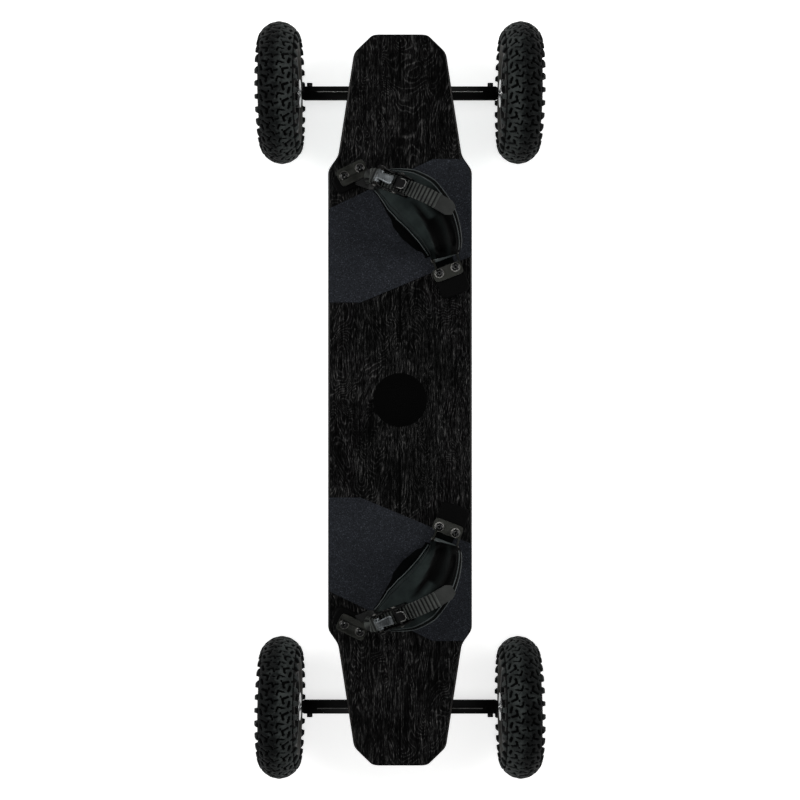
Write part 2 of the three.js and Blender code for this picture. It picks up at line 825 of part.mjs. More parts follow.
function kingpin() {
  const headBottom = kingpinHeadTop + kingpinHeadHeight;
  return onKingpin(
    turned([
      [0, kingpinHeadTop],
      [kingpinHeadRadius, kingpinHeadTop],
      [kingpinHeadRadius, headBottom],
      [kingpinRadius, headBottom],
      [kingpinRadius, roadWasherTop],
      [kingpinWasherRadius, roadWasherTop],
      [kingpinWasherRadius, roadWasherTop + kingpinWasherThickness],
      [kingpinRadius, roadWasherTop + kingpinWasherThickness],
      [kingpinRadius, kingpinTip],
      [0, kingpinTip],
    ]),
  );
}

function kingpinNut() {
  const body = moved(rod(kingpinNutRadius, kingpinNutHeight, boltSides), 0, 0, kingpinNutTop);
  const thread = rod(kingpinRadius + seatGap, kingpinTip + overrun);
  return onKingpin(carved(body, thread));
}

// Hanger: a six-sided ridged bar that swells into the yoke, with the bushing ring and pivot nose
function hanger() {
  const outer = barWidth / 2;
  const ridge = outer - barWidth * barRidgeShare;
  const bar = [
    [outer, -barSideHeight / 2],
    [outer, barSideHeight / 2],
    [ridge, barHeight / 2],
    [-outer, barSideHeight / 2],
    [-outer, -barSideHeight / 2],
    [ridge, -barHeight / 2],
  ];
  const yoke = [
    [outer, -barSideHeight / 2],
    [yokeOuterReach, yokeOuterRise],
    [yokeNeckReach, yokeNeckRise],
    [-yokeInnerReach, yokeInnerTopRise],
    [-yokeInnerReach, yokeInnerBottomRise],
    [ridge, -barHeight / 2],
  ];
  const section = (points, x, scale = 1) =>
    points.map(([y, z]) => new THREE.Vector3(x, y * scale, z * scale - axleDrop));
  const half = [
    [yoke, yokeHalfWidth, 1],
    [bar, yokeHalfWidth + yokeShoulder, 1],
    [bar, barHalfLength - barEndChamfer, 1],
    [bar, barHalfLength, barEndShare],
  ];
  const rings = [
    ...half.map(([points, x, scale]) => section(points, -x, scale)).reverse(),
    ...half.map(([points, x, scale]) => section(points, x, scale)),
  ];
  const ring = onKingpin(moved(rod(ringRadius, ringThickness), 0, 0, ringTop));
  const nose = onSteerAxis(
    turned([
      [0, noseStart],
      [noseRadius, noseStart],
      [noseRadius, pivotReach - noseTipLength],
      [noseTipRadius, pivotReach],
      [0, pivotReach],
    ]),
  );
  const screws = [-1, 1].map((side) =>
    along(
      rod(lockScrewRadius, outer + lockScrewProud),
      new THREE.Vector3(side * lockScrewPlace, 0, -axleDrop),
      Y,
    ),
  );
  const axleBores = [-1, 1].map((side) =>
    along(
      rod(axleRadius + axleBoreClearance, barHalfLength + overrun - axleInnerEnd),
      new THREE.Vector3(side * (axleInnerEnd - seatGap), 0, -axleDrop),
      X.clone().multiplyScalar(side),
    ),
  );
  const kingpinHole = onKingpin(
    moved(rod(ringBoreRadius, ringThickness + overrun), 0, 0, ringTop - ringThickness),
  );
  const recess = onKingpin(
    boxBetween(
      new THREE.Vector3(-nutRecessHalfWidth, -overrun - ringRadius, ringBottom),
      new THREE.Vector3(nutRecessHalfWidth, nutRecessReach, kingpinTip + overrun),
    ),
  );
  return carved(joined(lofted(rings), ring, nose, ...screws), ...axleBores, kingpinHole, recess);
}

// Plan of a base block, shrunk by an inset
function blockPlan({ length, depth, shift, front }, inset) {
  const half = length / 2 - inset;
  return rounded(
    rectangle(shift - half, shift + half, front - depth + inset, front - inset),
    bracketCorner,
    1,
  );
}

// Rubber base block with its top edges bevelled and two bolt holes
function baseBlock(block) {
  const ring = (inset, z) => blockPlan(block, inset).map(([x, y]) => new THREE.Vector3(x, y, z));
  const body = lofted([
    ring(0, seatGap),
    ring(0, baseBlockHeight - baseBlockBevel),
    ring(baseBlockBevel, baseBlockHeight),
  ]);
  const holes = bracketBoltPlaces.map((x) =>
    moved(rod(bracketBoltRadius + boltClearance, baseBlockHeight + overrun, boltSides), x, 0, -overrun / 2),
  );
  return carved(body, ...holes);
}

// Bolts that hold a bracket: head, washer and shank down into the deck
function bracketBolts() {
  const plateTop = baseBlockHeight + seatGap + bracketThickness;
  return bracketBoltPlaces.flatMap((x) => [
    moved(rod(bracketWasherRadius, bracketWasherThickness), x, 0, plateTop),
    moved(
      rod(bracketBoltHeadRadius, bracketWasherThickness + bracketBoltHeadHeight, boltSides),
      x,
      0,
      plateTop,
    ),
    moved(rod(bracketBoltRadius, plateTop + boltDepthInDeck, boltSides), x, 0, -boltDepthInDeck),
  ]);
}

function bracketPlan(front) {
  const half = bracketLength / 2;
  return rounded(rectangle(-half, half, -bracketBackReach, front), bracketCorner, 2);
}

// Ratchet-side bracket: a plate joggled up at its front lip, over the root of the ladder strap
function ratchetBracket() {
  const low = baseBlockHeight + seatGap;
  const high = low + ratchetLipRise;
  const joggle = ratchetLipStart + ratchetLipRun;
  const outline = [
    [-bracketBackReach - overrun, low],
    [ratchetLipStart, low],
    [joggle, high],
    [ratchetLipReach + overrun, high],
    [ratchetLipReach + overrun, high + bracketThickness],
    [joggle - bracketThickness / 2, high + bracketThickness],
    [ratchetLipStart - bracketThickness / 2, low + bracketThickness],
    [-bracketBackReach - overrun, low + bracketThickness],
  ];
  const sheet = acrossX(outline, bracketLength + overrun);
  const plate = common(sheet, raised(bracketPlan(ratchetLipReach), high + overrun));
  return joined(plate, ...bracketBolts());
}

// Hinge-side bracket: a plate with two ears that carry the hinge bar
function hingeBracket() {
  const low = baseBlockHeight + seatGap;
  const top = low + bracketThickness;
  const plate = moved(raised(bracketPlan(hingePlateFront), bracketThickness), 0, 0, low);
  const earOutline = [
    [0, low],
    [hingePlateFront, low],
    [hingeBarReach, hingeBarHeight - hingeEarRadius],
    [hingeBarReach + hingeEarRadius, hingeBarHeight],
    [hingeBarReach, hingeBarHeight + hingeEarRadius],
    [hingePlateFront, top + bracketThickness],
    [0, top],
  ];
  const ears = [-1, 1].map((side) =>
    moved(acrossX(earOutline, hingeEarThickness), (side * hingeEarSpacing) / 2 + hingeBarShiftX, 0, 0),
  );
  const bar = along(
    rod(hingeBarRadius, hingeEarSpacing + hingeEarThickness),
    new THREE.Vector3(
      hingeBarShiftX - (hingeEarSpacing + hingeEarThickness) / 2,
      hingeBarReach,
      hingeBarHeight,
    ),
    X,
  );
  return joined(plate, ...ears, bar, ...bracketBolts());
}

// Padded strap: a crowned section carried along an arch from the hinge bar to the buckle's end
const hingeBarPlace = new THREE.Vector3(hingeBarShiftX, hingeBarReach, hingeBarHeight);
const hingeBarCentre = hingeBarPlace.clone().applyMatrix4(hingeFrame);
const hingeBarDirection = X.clone().transformDirection(hingeFrame);
const strapPath = new THREE.CatmullRomCurve3(
  strapShares.map(
    ([across, forward, up]) =>
      new THREE.Vector3(
        THREE.MathUtils.lerp(hingeBarCentre.x, strapEndX, across),
        THREE.MathUtils.lerp(hingeBarCentre.y, strapEndY, forward),
        hingeBarCentre.z + up * (strapArchHeight - hingeBarHeight),
      ),
  ),
  false,
  "centripetal",
);

// Place on the strap: centre, direction back to the hinge bar, side direction and outward normal.
function strapPlace(share) {
  const centre = strapPath.getPoint(share);
  const back = strapPath.getTangent(share).negate();
  const side = new THREE.Vector3().crossVectors(Z, back).normalize();
  const out = new THREE.Vector3().crossVectors(back, side).normalize();
  const row = share * (strapShares.length - 1);
  const low = Math.min(Math.floor(row), strapShares.length - 2);
  const [width, thickness] = [3, 4].map((column) =>
    THREE.MathUtils.lerp(strapShares[low][column], strapShares[low + 1][column], row - low),
  );
  return { centre, back, side, out, width: width * strapWidth, thickness: thickness * strapThickness };
}

function strapPad() {
  const rings = Array.from({ length: strapStations + 1 }, (_, i) => {
    const share = i / strapStations;
    const { centre, side, out, width, thickness } = strapPlace(share);
    const recess = strapRecessDepth * Math.sin(Math.PI * share) ** 2;
    return strapSectionShares.map(([sideShare, outShare], point) =>
      centre
        .clone()
        .addScaledVector(side, (sideShare * width) / 2)
        .addScaledVector(out, (outShare * thickness) / 2 - (point === strapRecessPoint ? recess : 0)),
    );
  });
  const loopEnd = hingeBarCentre.clone().addScaledVector(hingeBarDirection, -strapLoopLength / 2);
  const loop = along(rod(strapLoopRadius, strapLoopLength), loopEnd, hingeBarDirection);
  const boreEnd = hingeBarCentre.clone().addScaledVector(hingeBarDirection, -strapWidth);
  const bore = along(rod(hingeBarRadius + runningGap, 2 * strapWidth), boreEnd, hingeBarDirection);
  const earRoom = [-1, 1].map((side) =>
    moved(
      boxBetween(
        new THREE.Vector3(-hingeEarThickness / 2 - runningGap, -overrun, -hingeEarRadius - runningGap),
        new THREE.Vector3(
          hingeEarThickness / 2 + runningGap,
          hingeEarRadius + runningGap,
          hingeEarRadius + runningGap,
        ),
      ),
      (side * hingeEarSpacing) / 2 + hingeBarShiftX,
      hingeBarReach,
      hingeBarHeight,
    ).applyMatrix4(hingeFrame),
  );
  return carved(joined(lofted(rings), loop), bore, ...earRoom);
}

// Buckle frame: floor, two side walls with humps at the pins, and the pins themselves
const buckleInnerHalf = ladderWidth / 2 + buckleSideClearance;
const buckleOuterHalf = buckleInnerHalf + buckleWall;
const buckleFloorTop = -ladderThickness / 2 - seatGap;

function buckleFrame() {
  const half = buckleLength / 2;
  const floorBottom = buckleFloorTop - buckleFloorThickness;
  const hump = buckleHumpWidth / 2;
  const outline = [
    [-half, floorBottom],
    [half, floorBottom],
    [half, buckleLowWallHeight],
    [releasePinX + hump, buckleFrontHump],
    [releasePinX - hump, buckleFrontHump],
    [0, buckleLowWallHeight + buckleWall],
    [leverPinX + 2 * hump, buckleLowWallHeight + buckleWall],
    [leverPinX + hump, buckleRearHump],
    [leverPinX - hump, buckleRearHump],
    [-half, buckleLowWallHeight],
  ];
  const block = acrossY(outline, 2 * buckleOuterHalf);
  const channel = boxBetween(
    new THREE.Vector3(-half - overrun, -buckleInnerHalf, buckleFloorTop),
    new THREE.Vector3(half + overrun, buckleInnerHalf, buckleRearHump + overrun),
  );
  const pinHalf = buckleOuterHalf + bucklePinProud;
  const pins = [
    [leverPinX, leverPinZ],
    [releasePinX, releasePinZ],
  ].map(([x, z]) => along(rod(bucklePinRadius, 2 * pinHalf), new THREE.Vector3(x, -pinHalf, z), Y));
  return joined(carved(block, channel), ...pins);
}

// A lever on its pin at the origin: a barrel with arms drawn in side view, bored for the pin
function pinnedLever(barrelRadius, width, ...arms) {
  const barrel = along(rod(barrelRadius, width), new THREE.Vector3(0, -width / 2, 0), Y);
  const boreLength = width + overrun;
  const bore = along(
    rod(bucklePinRadius + runningGap, boreLength),
    new THREE.Vector3(0, -boreLength / 2, 0),
    Y,
  );
  return carved(joined(barrel, ...arms.map((outline) => acrossY(outline, width))), bore);
}

function buckleLever() {
  const handle = [
    [0, leverTopZ - leverThickness],
    [leverReach / 2, leverTopZ - leverThickness],
    [leverReach - leverThickness, leverTopZ - leverThickness],
    [leverReach, leverTopZ],
    [leverReach / 2, leverTopZ + leverThickness / 2],
    [0, leverTopZ],
    [-leverBarrelRadius, 0],
  ];
  const tooth = [
    [0, -leverToothThickness / 2],
    [0, leverToothThickness / 2],
    [-leverToothRadius, leverToothThickness / 2],
    [-leverBarrelRadius, -leverToothThickness / 2],
  ];
  return pinnedLever(leverBarrelRadius, leverWidth, handle, tooth);
}

function releaseLever() {
  const tab = [
    [0, 0],
    [releaseTabReach, releaseTabRise],
    [releaseTabReach, releaseTabRise + releaseTabThickness],
    [0, releaseBarrelRadius],
  ];
  const pawl = [
    [0, -releaseBarrelRadius / 2],
    [0, releaseBarrelRadius / 2],
    [-pawlReach, -pawlTipDrop + releaseTabThickness],
    [-pawlReach, -pawlTipDrop],
  ];
  return pinnedLever(releaseBarrelRadius, releaseWidth, tab, pawl);
}

// Ladder strap: from under the ratchet-side lip, straight through the buckle, then over the pad
const buckleCentre = new THREE.Vector3(buckleX, buckleY, deckTop + buckleHeight);
const buckleFrameMatrix = new THREE.Matrix4()
  .makeRotationZ(buckleHeading)
  .multiply(new THREE.Matrix4().makeRotationY(-buckleSlope))
  .setPosition(buckleCentre);
const buckleDirection = X.clone().transformDirection(buckleFrameMatrix);

function ladderPath() {
  const path = new THREE.CurvePath();
  const rootHeight = baseBlockHeight + seatGap + ratchetLipRise / 2;
  const root = new THREE.Vector3(ladderRootShiftX, ladderRootInset, rootHeight).applyMatrix4(ratchetFrame);
  const heading = new THREE.Vector3(Math.cos(ladderRootHeading), Math.sin(ladderRootHeading), 0);
  const straightHalf = buckleLength / 2 + ladderStraightMargin;
  const lead = root.clone().addScaledVector(heading, ladderRootRun);
  const entry = buckleCentre.clone().addScaledVector(buckleDirection, -straightHalf);
  const exit = buckleCentre.clone().addScaledVector(buckleDirection, straightHalf);
  const tipPlace = strapPlace(ladderTipStationShare);
  const tip = tipPlace.centre
    .clone()
    .addScaledVector(tipPlace.side, tipPlace.width * ladderTipSideShare)
    .addScaledVector(tipPlace.out, ladderTipLift);
  const tipHeading = tip.clone().sub(exit).setZ(0).normalize();
  tipHeading.setZ(Math.tan(ladderTipSlope)).normalize();
  path.add(new THREE.LineCurve3(root, lead));
  path.add(
    new THREE.CubicBezierCurve3(
      lead,
      lead.clone().addScaledVector(heading, ladderRootPull),
      entry.clone().addScaledVector(buckleDirection, -ladderEntryPull),
      entry,
    ),
  );
  path.add(new THREE.LineCurve3(entry, exit));
  path.add(
    new THREE.CubicBezierCurve3(
      exit,
      exit.clone().addScaledVector(buckleDirection, ladderExitPull),
      tip.clone().addScaledVector(tipHeading, -ladderTipPull),
      tip,
    ),
  );
  return path;
}

function ladderStrap() {
  const path = ladderPath();
  const length = path.getLength();
  const ribbedEnd = length - ladderPlainTip;
  const places = [[0, 0, 1]];
  for (let at = ladderStep; at < ladderPlainRoot; at += ladderStep) places.push([at, 0, 1]);
  const ribs = Math.floor((ribbedEnd - ladderPlainRoot) / ladderRibPitch);
  for (let rib = 0; rib < ribs; rib++) {
    const start = ladderPlainRoot + rib * ladderRibPitch;
    places.push([start, 0, 1], [start + ladderRibPitch - ladderRibStep, ladderRibHeight, 1]);
  }
  places.push([ribbedEnd, 0, 1], [length - ladderPlainTip / 4, 0, 1], [length, 0, ladderTipTaperShare]);
  const rootSide = X.clone().transformDirection(ratchetFrame).negate();
  rootSide.divideScalar(Math.sin(ladderRootHeading - ratchetBracketAngle));
  const rings = places.map(([at, rise, widthShare]) => {
    const point = path.getPointAt(at / length);
    const tangent = path.getTangentAt(at / length);
    const across = new THREE.Vector3().crossVectors(Z, tangent).normalize();
    const side = at > 0 ? across : rootSide;
    const out = new THREE.Vector3().crossVectors(tangent, across).normalize();
    const corner = (sideways, up) =>
      point.clone().addScaledVector(side, (sideways * widthShare * ladderWidth) / 2).addScaledVector(out, up);
    const low = -ladderThickness / 2;
    const high = ladderThickness / 2 + rise;
    return [corner(-1, low), corner(1, low), corner(1, high), corner(-1, high)];
  });
  return joined(lofted(rings));
}

function mesh(name, geometry, look) {
  const part = new THREE.Mesh(geometry, new THREE.MeshStandardMaterial({ ...look, flatShading: true }));
  part.name = name;
  return part;
}

function placed(matrix, ...children) {
  const group = new THREE.Group();
  group.applyMatrix4(matrix);
  group.add(...children);
  return group;
}

const board = new THREE.Group();
board.add(mesh("deck", deck(), finish.deckWood));

const shared = {
  grip: gripPad(),
  tyre: tyre(),
  tube: innerTube(),
  hubInner: hubHalf(hubInnerReach, false).rotateY(Math.PI),
  hubOuter: hubHalf(hubOuterReach, true),
  bearings: bearingSet(),
  axle: axleStub(),
  baseplate: baseplate(),
  cup: pivotCup(),
  boardBushing: bushing(boardBushingRadius, boardBushingRadius, bossDepth + seatGap, ringTop - seatGap),
  roadBushing: bushing(
    roadBushingRootRadius,
    roadBushingTipRadius,
    ringBottom + seatGap,
    roadWasherTop - seatGap,
  ),
  kingpin: kingpin(),
  kingpinNut: kingpinNut(),
  hanger: hanger(),
  hingeBase: baseBlock(hingeBase),
  ratchetBase: baseBlock(ratchetBase),
  hingeBracket: hingeBracket(),
  ratchetBracket: ratchetBracket(),
  strap: strapPad(),
  ladder: ladderStrap(),
  buckleFrame: buckleFrame(),
  buckleLever: buckleLever(),
  releaseLever: releaseLever(),
};

// Wheel with its axle stub: the left one is the right one turned about the board's upright axis
function wheel(end, side) {
  const tag = `${end}_${side}`;
  return placed(
    new THREE.Matrix4().makeTranslation(wheelTrack / 2, 0, 0),
    mesh(`tyre_${tag}`, shared.tyre, finish.rubber),
    mesh(`inner_tube_${tag}`, shared.tube, finish.rubber),
    mesh(`hub_inner_${tag}`, shared.hubInner, finish.hubPlastic),
    mesh(`hub_outer_${tag}`, shared.hubOuter, finish.hubPlastic),
    mesh(`bearing_set_${tag}`, shared.bearings, finish.steel),
  );
}

function wheels(end) {
  return ["right", "left"].map((side) => {
    const turn = new THREE.Matrix4().makeRotationZ(side === "left" ? Math.PI : 0);
    const axle = mesh(`axle_${end}_${side}`, shared.axle, finish.steel);
    return placed(turn, wheel(end, side), axle);
  });
}

function truck(end) {
  return placed(
    truckFrame,
    mesh(`baseplate_${end}`, shared.baseplate, finish.blackMetal),
    mesh(`pivot_cup_${end}`, shared.cup, finish.urethane),
    mesh(`board_bushing_${end}`, shared.boardBushing, finish.urethane),
    mesh(`road_bushing_${end}`, shared.roadBushing, finish.urethane),
    mesh(`kingpin_${end}`, shared.kingpin, finish.steel),
    mesh(`kingpin_nut_${end}`, shared.kingpinNut, finish.blackMetal),
    mesh(`hanger_${end}`, shared.hanger, finish.blackMetal),
    placed(new THREE.Matrix4().makeTranslation(0, 0, -axleDrop), ...wheels(end)),
  );
}

function binding(end) {
  const pin = (x, z, child) => placed(new THREE.Matrix4().makeTranslation(x, 0, z), child);
  return [
    placed(
      hingeFrame,
      mesh(`hinge_base_${end}`, shared.hingeBase, finish.baseRubber),
      mesh(`hinge_bracket_${end}`, shared.hingeBracket, finish.bracketSteel),
    ),
    placed(
      ratchetFrame,
      mesh(`ratchet_base_${end}`, shared.ratchetBase, finish.baseRubber),
      mesh(`ratchet_bracket_${end}`, shared.ratchetBracket, finish.bracketSteel),
    ),
    mesh(`strap_pad_${end}`, shared.strap, finish.strapFabric),
    mesh(`ladder_strap_${end}`, shared.ladder, finish.ladderPlastic),
    placed(
      buckleFrameMatrix,
      mesh(`buckle_frame_${end}`, shared.buckleFrame, finish.blackMetal),
      pin(leverPinX, leverPinZ, mesh(`buckle_lever_${end}`, shared.buckleLever, finish.leverAlloy)),
      pin(releasePinX, releasePinZ, mesh(`release_lever_${end}`, shared.releaseLever, finish.blackMetal)),
    ),
  ];
}

board.add(truck("front"), placed(halfTurn, truck("rear")));
board.add(...binding("front"), placed(mirrorY, ...binding("rear")));
board.add(mesh("grip_pad_front", shared.grip, finish.grip));
board.add(placed(mirrorY, mesh("grip_pad_rear", shared.grip, finish.grip)));

export default board;
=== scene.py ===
"""Dresses a mountainboard: stained ash deck, grit pads, cast trucks, knobbly tyres and foot bindings.

Every length in this file is in millimetres until a mesh is made, where it is turned into metres.
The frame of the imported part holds: +Z up, +Y towards the nose, origin on the ground.
"""

from __future__ import annotations

import json
import logging
import math
from collections.abc import Sequence
from dataclasses import dataclass, field
from enum import Enum
from functools import cached_property

import bmesh
import bpy
import numpy as np
from mathutils import Matrix, Vector

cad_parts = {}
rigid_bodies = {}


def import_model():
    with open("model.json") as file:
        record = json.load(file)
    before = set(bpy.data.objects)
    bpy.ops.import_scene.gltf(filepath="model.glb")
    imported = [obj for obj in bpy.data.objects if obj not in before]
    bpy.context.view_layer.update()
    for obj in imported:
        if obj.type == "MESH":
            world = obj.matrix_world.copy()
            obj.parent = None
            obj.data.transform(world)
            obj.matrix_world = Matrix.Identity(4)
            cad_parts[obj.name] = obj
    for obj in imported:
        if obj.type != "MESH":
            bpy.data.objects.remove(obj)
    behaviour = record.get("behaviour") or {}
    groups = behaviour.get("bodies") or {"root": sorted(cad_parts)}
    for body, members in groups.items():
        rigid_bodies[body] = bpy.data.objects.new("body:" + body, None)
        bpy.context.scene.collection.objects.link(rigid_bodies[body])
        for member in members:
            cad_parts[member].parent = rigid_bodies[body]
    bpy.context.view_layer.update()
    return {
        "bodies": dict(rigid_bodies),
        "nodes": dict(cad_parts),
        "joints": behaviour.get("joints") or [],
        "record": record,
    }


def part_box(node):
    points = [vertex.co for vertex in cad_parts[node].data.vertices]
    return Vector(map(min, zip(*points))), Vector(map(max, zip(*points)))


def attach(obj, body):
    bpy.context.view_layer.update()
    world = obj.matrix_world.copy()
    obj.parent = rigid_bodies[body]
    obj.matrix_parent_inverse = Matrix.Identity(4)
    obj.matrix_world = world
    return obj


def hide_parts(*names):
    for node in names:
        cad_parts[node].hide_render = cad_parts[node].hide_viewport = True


LOG = logging.getLogger("mountainboard")
MM = 0.001
Array = np.ndarray
Profile = np.ndarray | Sequence[tuple[float, float]]
Tree = bpy.types.NodeTree
Shader = bpy.types.Node
Socket = bpy.types.NodeSocket


class End(Enum):
    """The two halves of the board."""

    FRONT = "front"
    REAR = "rear"


class Side(Enum):
    """The two wheels of a truck."""

    RIGHT = "right"
    LEFT = "left"


# Colours and shader nodes


def linear(colour: str) -> tuple[float, float, float, float]:
    """Turns an sRGB hex colour into the linear colour that a shader takes.

    Args:
        colour: Six hex digits, with or without a leading #.

    Returns:
        Red, green, blue and an alpha of 1.
    """
    digits = colour.lstrip("#")
    values = np.array([int(digits[i : i + 2], 16) for i in (0, 2, 4)]) / 255
    straight = np.where(values <= 0.04045, values / 12.92, ((values + 0.055) / 1.055) ** 2.4)
    return (*straight.tolist(), 1.0)


def add(
    tree: Tree,
    kind: str,
    feeds: dict | None = None,
    stops: Sequence[tuple[float, str]] = (),
    **settings: object,
) -> Shader:
    """Adds one shader node with its settings and its links.

    Args:
        tree: The material's node tree.
        kind: The node's type without the leading ShaderNode.
        feeds: Input name or number to a value, a hex colour or another node's output.
        stops: Place and hex colour of each stop, for a colour ramp.
        **settings: The node's own properties.

    Returns:
        The new node.
    """
    made = tree.nodes.new("ShaderNode" + kind)
    for key, value in settings.items():
        setattr(made, key, value)
    for key, value in (feeds or {}).items():
        if isinstance(value, Socket):
            tree.links.new(value, made.inputs[key])
        else:
            made.inputs[key].default_value = linear(value) if isinstance(value, str) else value
    if stops:
        band = made.color_ramp.elements
        while len(band) < len(stops):
            band.new(1.0)
        for element, (place, colour) in zip(band, stops):
            element.position = place
            element.color = linear(colour)
    return made


@dataclass(frozen=True)
class Finish:
    """A surface: its base colour and shine, and the fine relief that its making left."""

    name: str
    colour: str
    light: str
    roughness: float = 0.5
    metallic: float = 0.0
    ior: float = 1.5
    grain_mm: float = 1.0
    relief_mm: float = 0.05
    specular: float = 0.3

    def material(self) -> bpy.types.Material:
        """Makes the material, or finds it if it is already made.

        Returns:
            The Blender material.
        """
        found = bpy.data.materials.get(self.name)
        if found is not None:
            return found
        made = bpy.data.materials.new(self.name)
        made.use_nodes = True
        tree = made.node_tree
        shader = tree.nodes["Principled BSDF"]
        shader.inputs["Metallic"].default_value = self.metallic
        shader.inputs["IOR"].default_value = self.ior
        shader.inputs["Roughness"].default_value = self.roughness
        shader.inputs["Specular IOR Level"].default_value = 0.5 if self.metallic else self.specular
        place = add(tree, "TexCoord").outputs["Object"]
        self.paint(tree, shader, place)
        return made

    def paint(self, tree: Tree, shader: Shader, place: Socket) -> None:
        """Colours the shader: cloudy mottling between two colours and a fine moulded or cast grain.

        Args:
            tree: The material's node tree.
            shader: Its Principled shader.
            place: Object coordinates, in metres.
        """
        cloud = add(tree, "TexNoise", {"Vector": place, "Scale": 35.0, "Detail": 6.0, "Roughness": 0.65})
        ramp = add(
            tree,
            "ValToRGB",
            {"Fac": cloud.outputs["Fac"]},
            stops=[(0.32, self.colour), (0.72, self.light)],
        )
        self.link(tree, ramp.outputs["Color"], shader, "Base Color")
        self.grain(tree, shader, place)
        shine = add(
            tree,
            "MapRange",
            {
                "Value": cloud.outputs["Fac"],
                "From Min": 0.3,
                "From Max": 0.7,
                "To Min": max(self.roughness - 0.07, 0.05),
                "To Max": min(self.roughness + 0.09, 1.0),
            },
        )
        self.link(tree, shine.outputs["Result"], shader, "Roughness")

    def grain(self, tree: Tree, shader: Shader, place: Socket) -> None:
        """Adds a fine relief whose grains are grain_mm across and relief_mm high.

        Args:
            tree: The material's node tree.
            shader: Its Principled shader.
            place: Object coordinates, in metres.
        """
        speck = add(
            tree, "TexNoise", {"Vector": place, "Scale": 1 / (self.grain_mm * MM), "Detail": 2.0}
        )
        bump = add(
            tree,
            "Bump",
            {"Height": speck.outputs["Fac"], "Distance": self.relief_mm * MM, "Strength": 0.8},
        )
        self.link(tree, bump.outputs["Normal"], shader, "Normal")

    @staticmethod
    def link(tree: Tree, output: Socket, shader: Shader, name: str) -> None:
        """Links an output to one of the shader's inputs."""
        tree.links.new(output, shader.inputs[name])


@dataclass(frozen=True)
class StainedAsh(Finish):
    """Brushed ash veneer under black stain: the eye sees short broken pores, arched figure and dark knots.

    The real pores are about 0.3 mm wide, and are drawn at fibre_mm so that they show.
    """

    fibre_mm: float = 1.15
    fibre_run_mm: float = 10.0
    vessel_mm: float = 2.6
    vessel_run_mm: float = 60.0
    figure_rings: float = 230.0
    seam_half_mm: float = 1.5
    seam_stretches: tuple[tuple[float, float], ...] = ((80.0, 175.0), (441.0, 493.0))

    def paint(self, tree: Tree, shader: Shader, place: Socket) -> None:
        """Adds up pores, vessels and figure, darkens knots, and draws the seam of the two veneer halves.

        Args:
            tree: The material's node tree.
            shader: Its Principled shader.
            place: Object coordinates, in metres.
        """

        def stretched(across_mm: float, along_mm: float, **noise: float) -> Socket:
            """Returns a noise whose grains are across_mm wide and along_mm long."""
            scale = (1 / (across_mm * MM), 1 / (along_mm * MM), 1.0)
            grid = add(tree, "Mapping", {"Vector": place, "Scale": scale}).outputs[0]
            return add(tree, "TexNoise", {"Vector": grid, "Scale": 1.0, **noise}).outputs["Fac"]

        fibre = stretched(self.fibre_mm, self.fibre_run_mm, Detail=3.0, Roughness=0.8, Distortion=0.18)
        vessel = stretched(self.vessel_mm, self.vessel_run_mm, Detail=2.0, Roughness=0.6, Distortion=0.15)
        # The figure is the contour lines of a slow noise, long along the board.
        hills = stretched(58.0, 185.0, Detail=2.0, Roughness=0.4, Distortion=1.3)
        rings = add(tree, "Math", {0: hills, 1: self.figure_rings}, operation="MULTIPLY").outputs[0]
        wave = add(tree, "Math", {0: rings}, operation="SINE").outputs[0]
        ridge = {"Value": wave, "From Min": 0.35, "From Max": 1.0, "To Min": -0.03, "To Max": 0.1}
        line = add(tree, "MapRange", ridge).outputs["Result"]
        pores = add(tree, "Math", {0: vessel, 1: 0.45, 2: fibre}, operation="MULTIPLY_ADD").outputs[0]
        mix = add(tree, "Math", {0: pores, 1: line}, operation="ADD").outputs[0]
        tones = [(0.62, "000000"), (0.7, "070707"), (0.77, self.colour), (0.86, self.light), (0.97, "4b4a49")]
        tone = add(tree, "ValToRGB", {"Fac": mix}, stops=tones).outputs["Color"]
        cloud = stretched(34.0, 60.0, Detail=4.0, Roughness=0.6, Distortion=0.8)
        dark = {"Value": cloud, "From Min": 0.32, "From Max": 0.56, "To Min": 0.2, "To Max": 1.15}
        shade = add(tree, "MapRange", dark).outputs["Result"]
        toned = add(
            tree, "Mix", {"Factor": 1.0, "A": tone, "B": shade}, data_type="RGBA", blend_type="MULTIPLY"
        ).outputs["Result"]
        parts = add(tree, "SeparateXYZ", {"Vector": place}).outputs
        near = {0: parts["X"], 1: 0.0, 2: self.seam_half_mm * MM}
        far = add(tree, "Math", {0: parts["Y"]}, operation="ABSOLUTE").outputs[0]
        spans = [{0: far, 1: (low + high) / 2 * MM, 2: (high - low) / 2 * MM} for low, high in self.seam_stretches]
        middle, *seams = (add(tree, "Math", span, operation="COMPARE").outputs[0] for span in (near, *spans))
        here = add(tree, "Math", {0: seams[0], 1: seams[1]}, operation="MAXIMUM").outputs[0]
        seam = add(tree, "Math", {0: middle, 1: here}, operation="MULTIPLY").outputs[0]
        final = add(
            tree, "Mix", {"Factor": seam, "A": toned, "B": "000000"}, data_type="RGBA"
        ).outputs["Result"]
        self.link(tree, final, shader, "Base Color")
        bump = add(tree, "Bump", {"Height": mix, "Distance": self.relief_mm * MM, "Strength": 0.9})
        self.link(tree, bump.outputs["Normal"], shader, "Normal")
        low, high = self.roughness, self.roughness + 0.2
        gloss = {"Value": mix, "From Min": 0.5, "From Max": 0.95, "To Min": high, "To Max": low}
        self.link(tree, add(tree, "MapRange", gloss).outputs["Result"], shader, "Roughness")


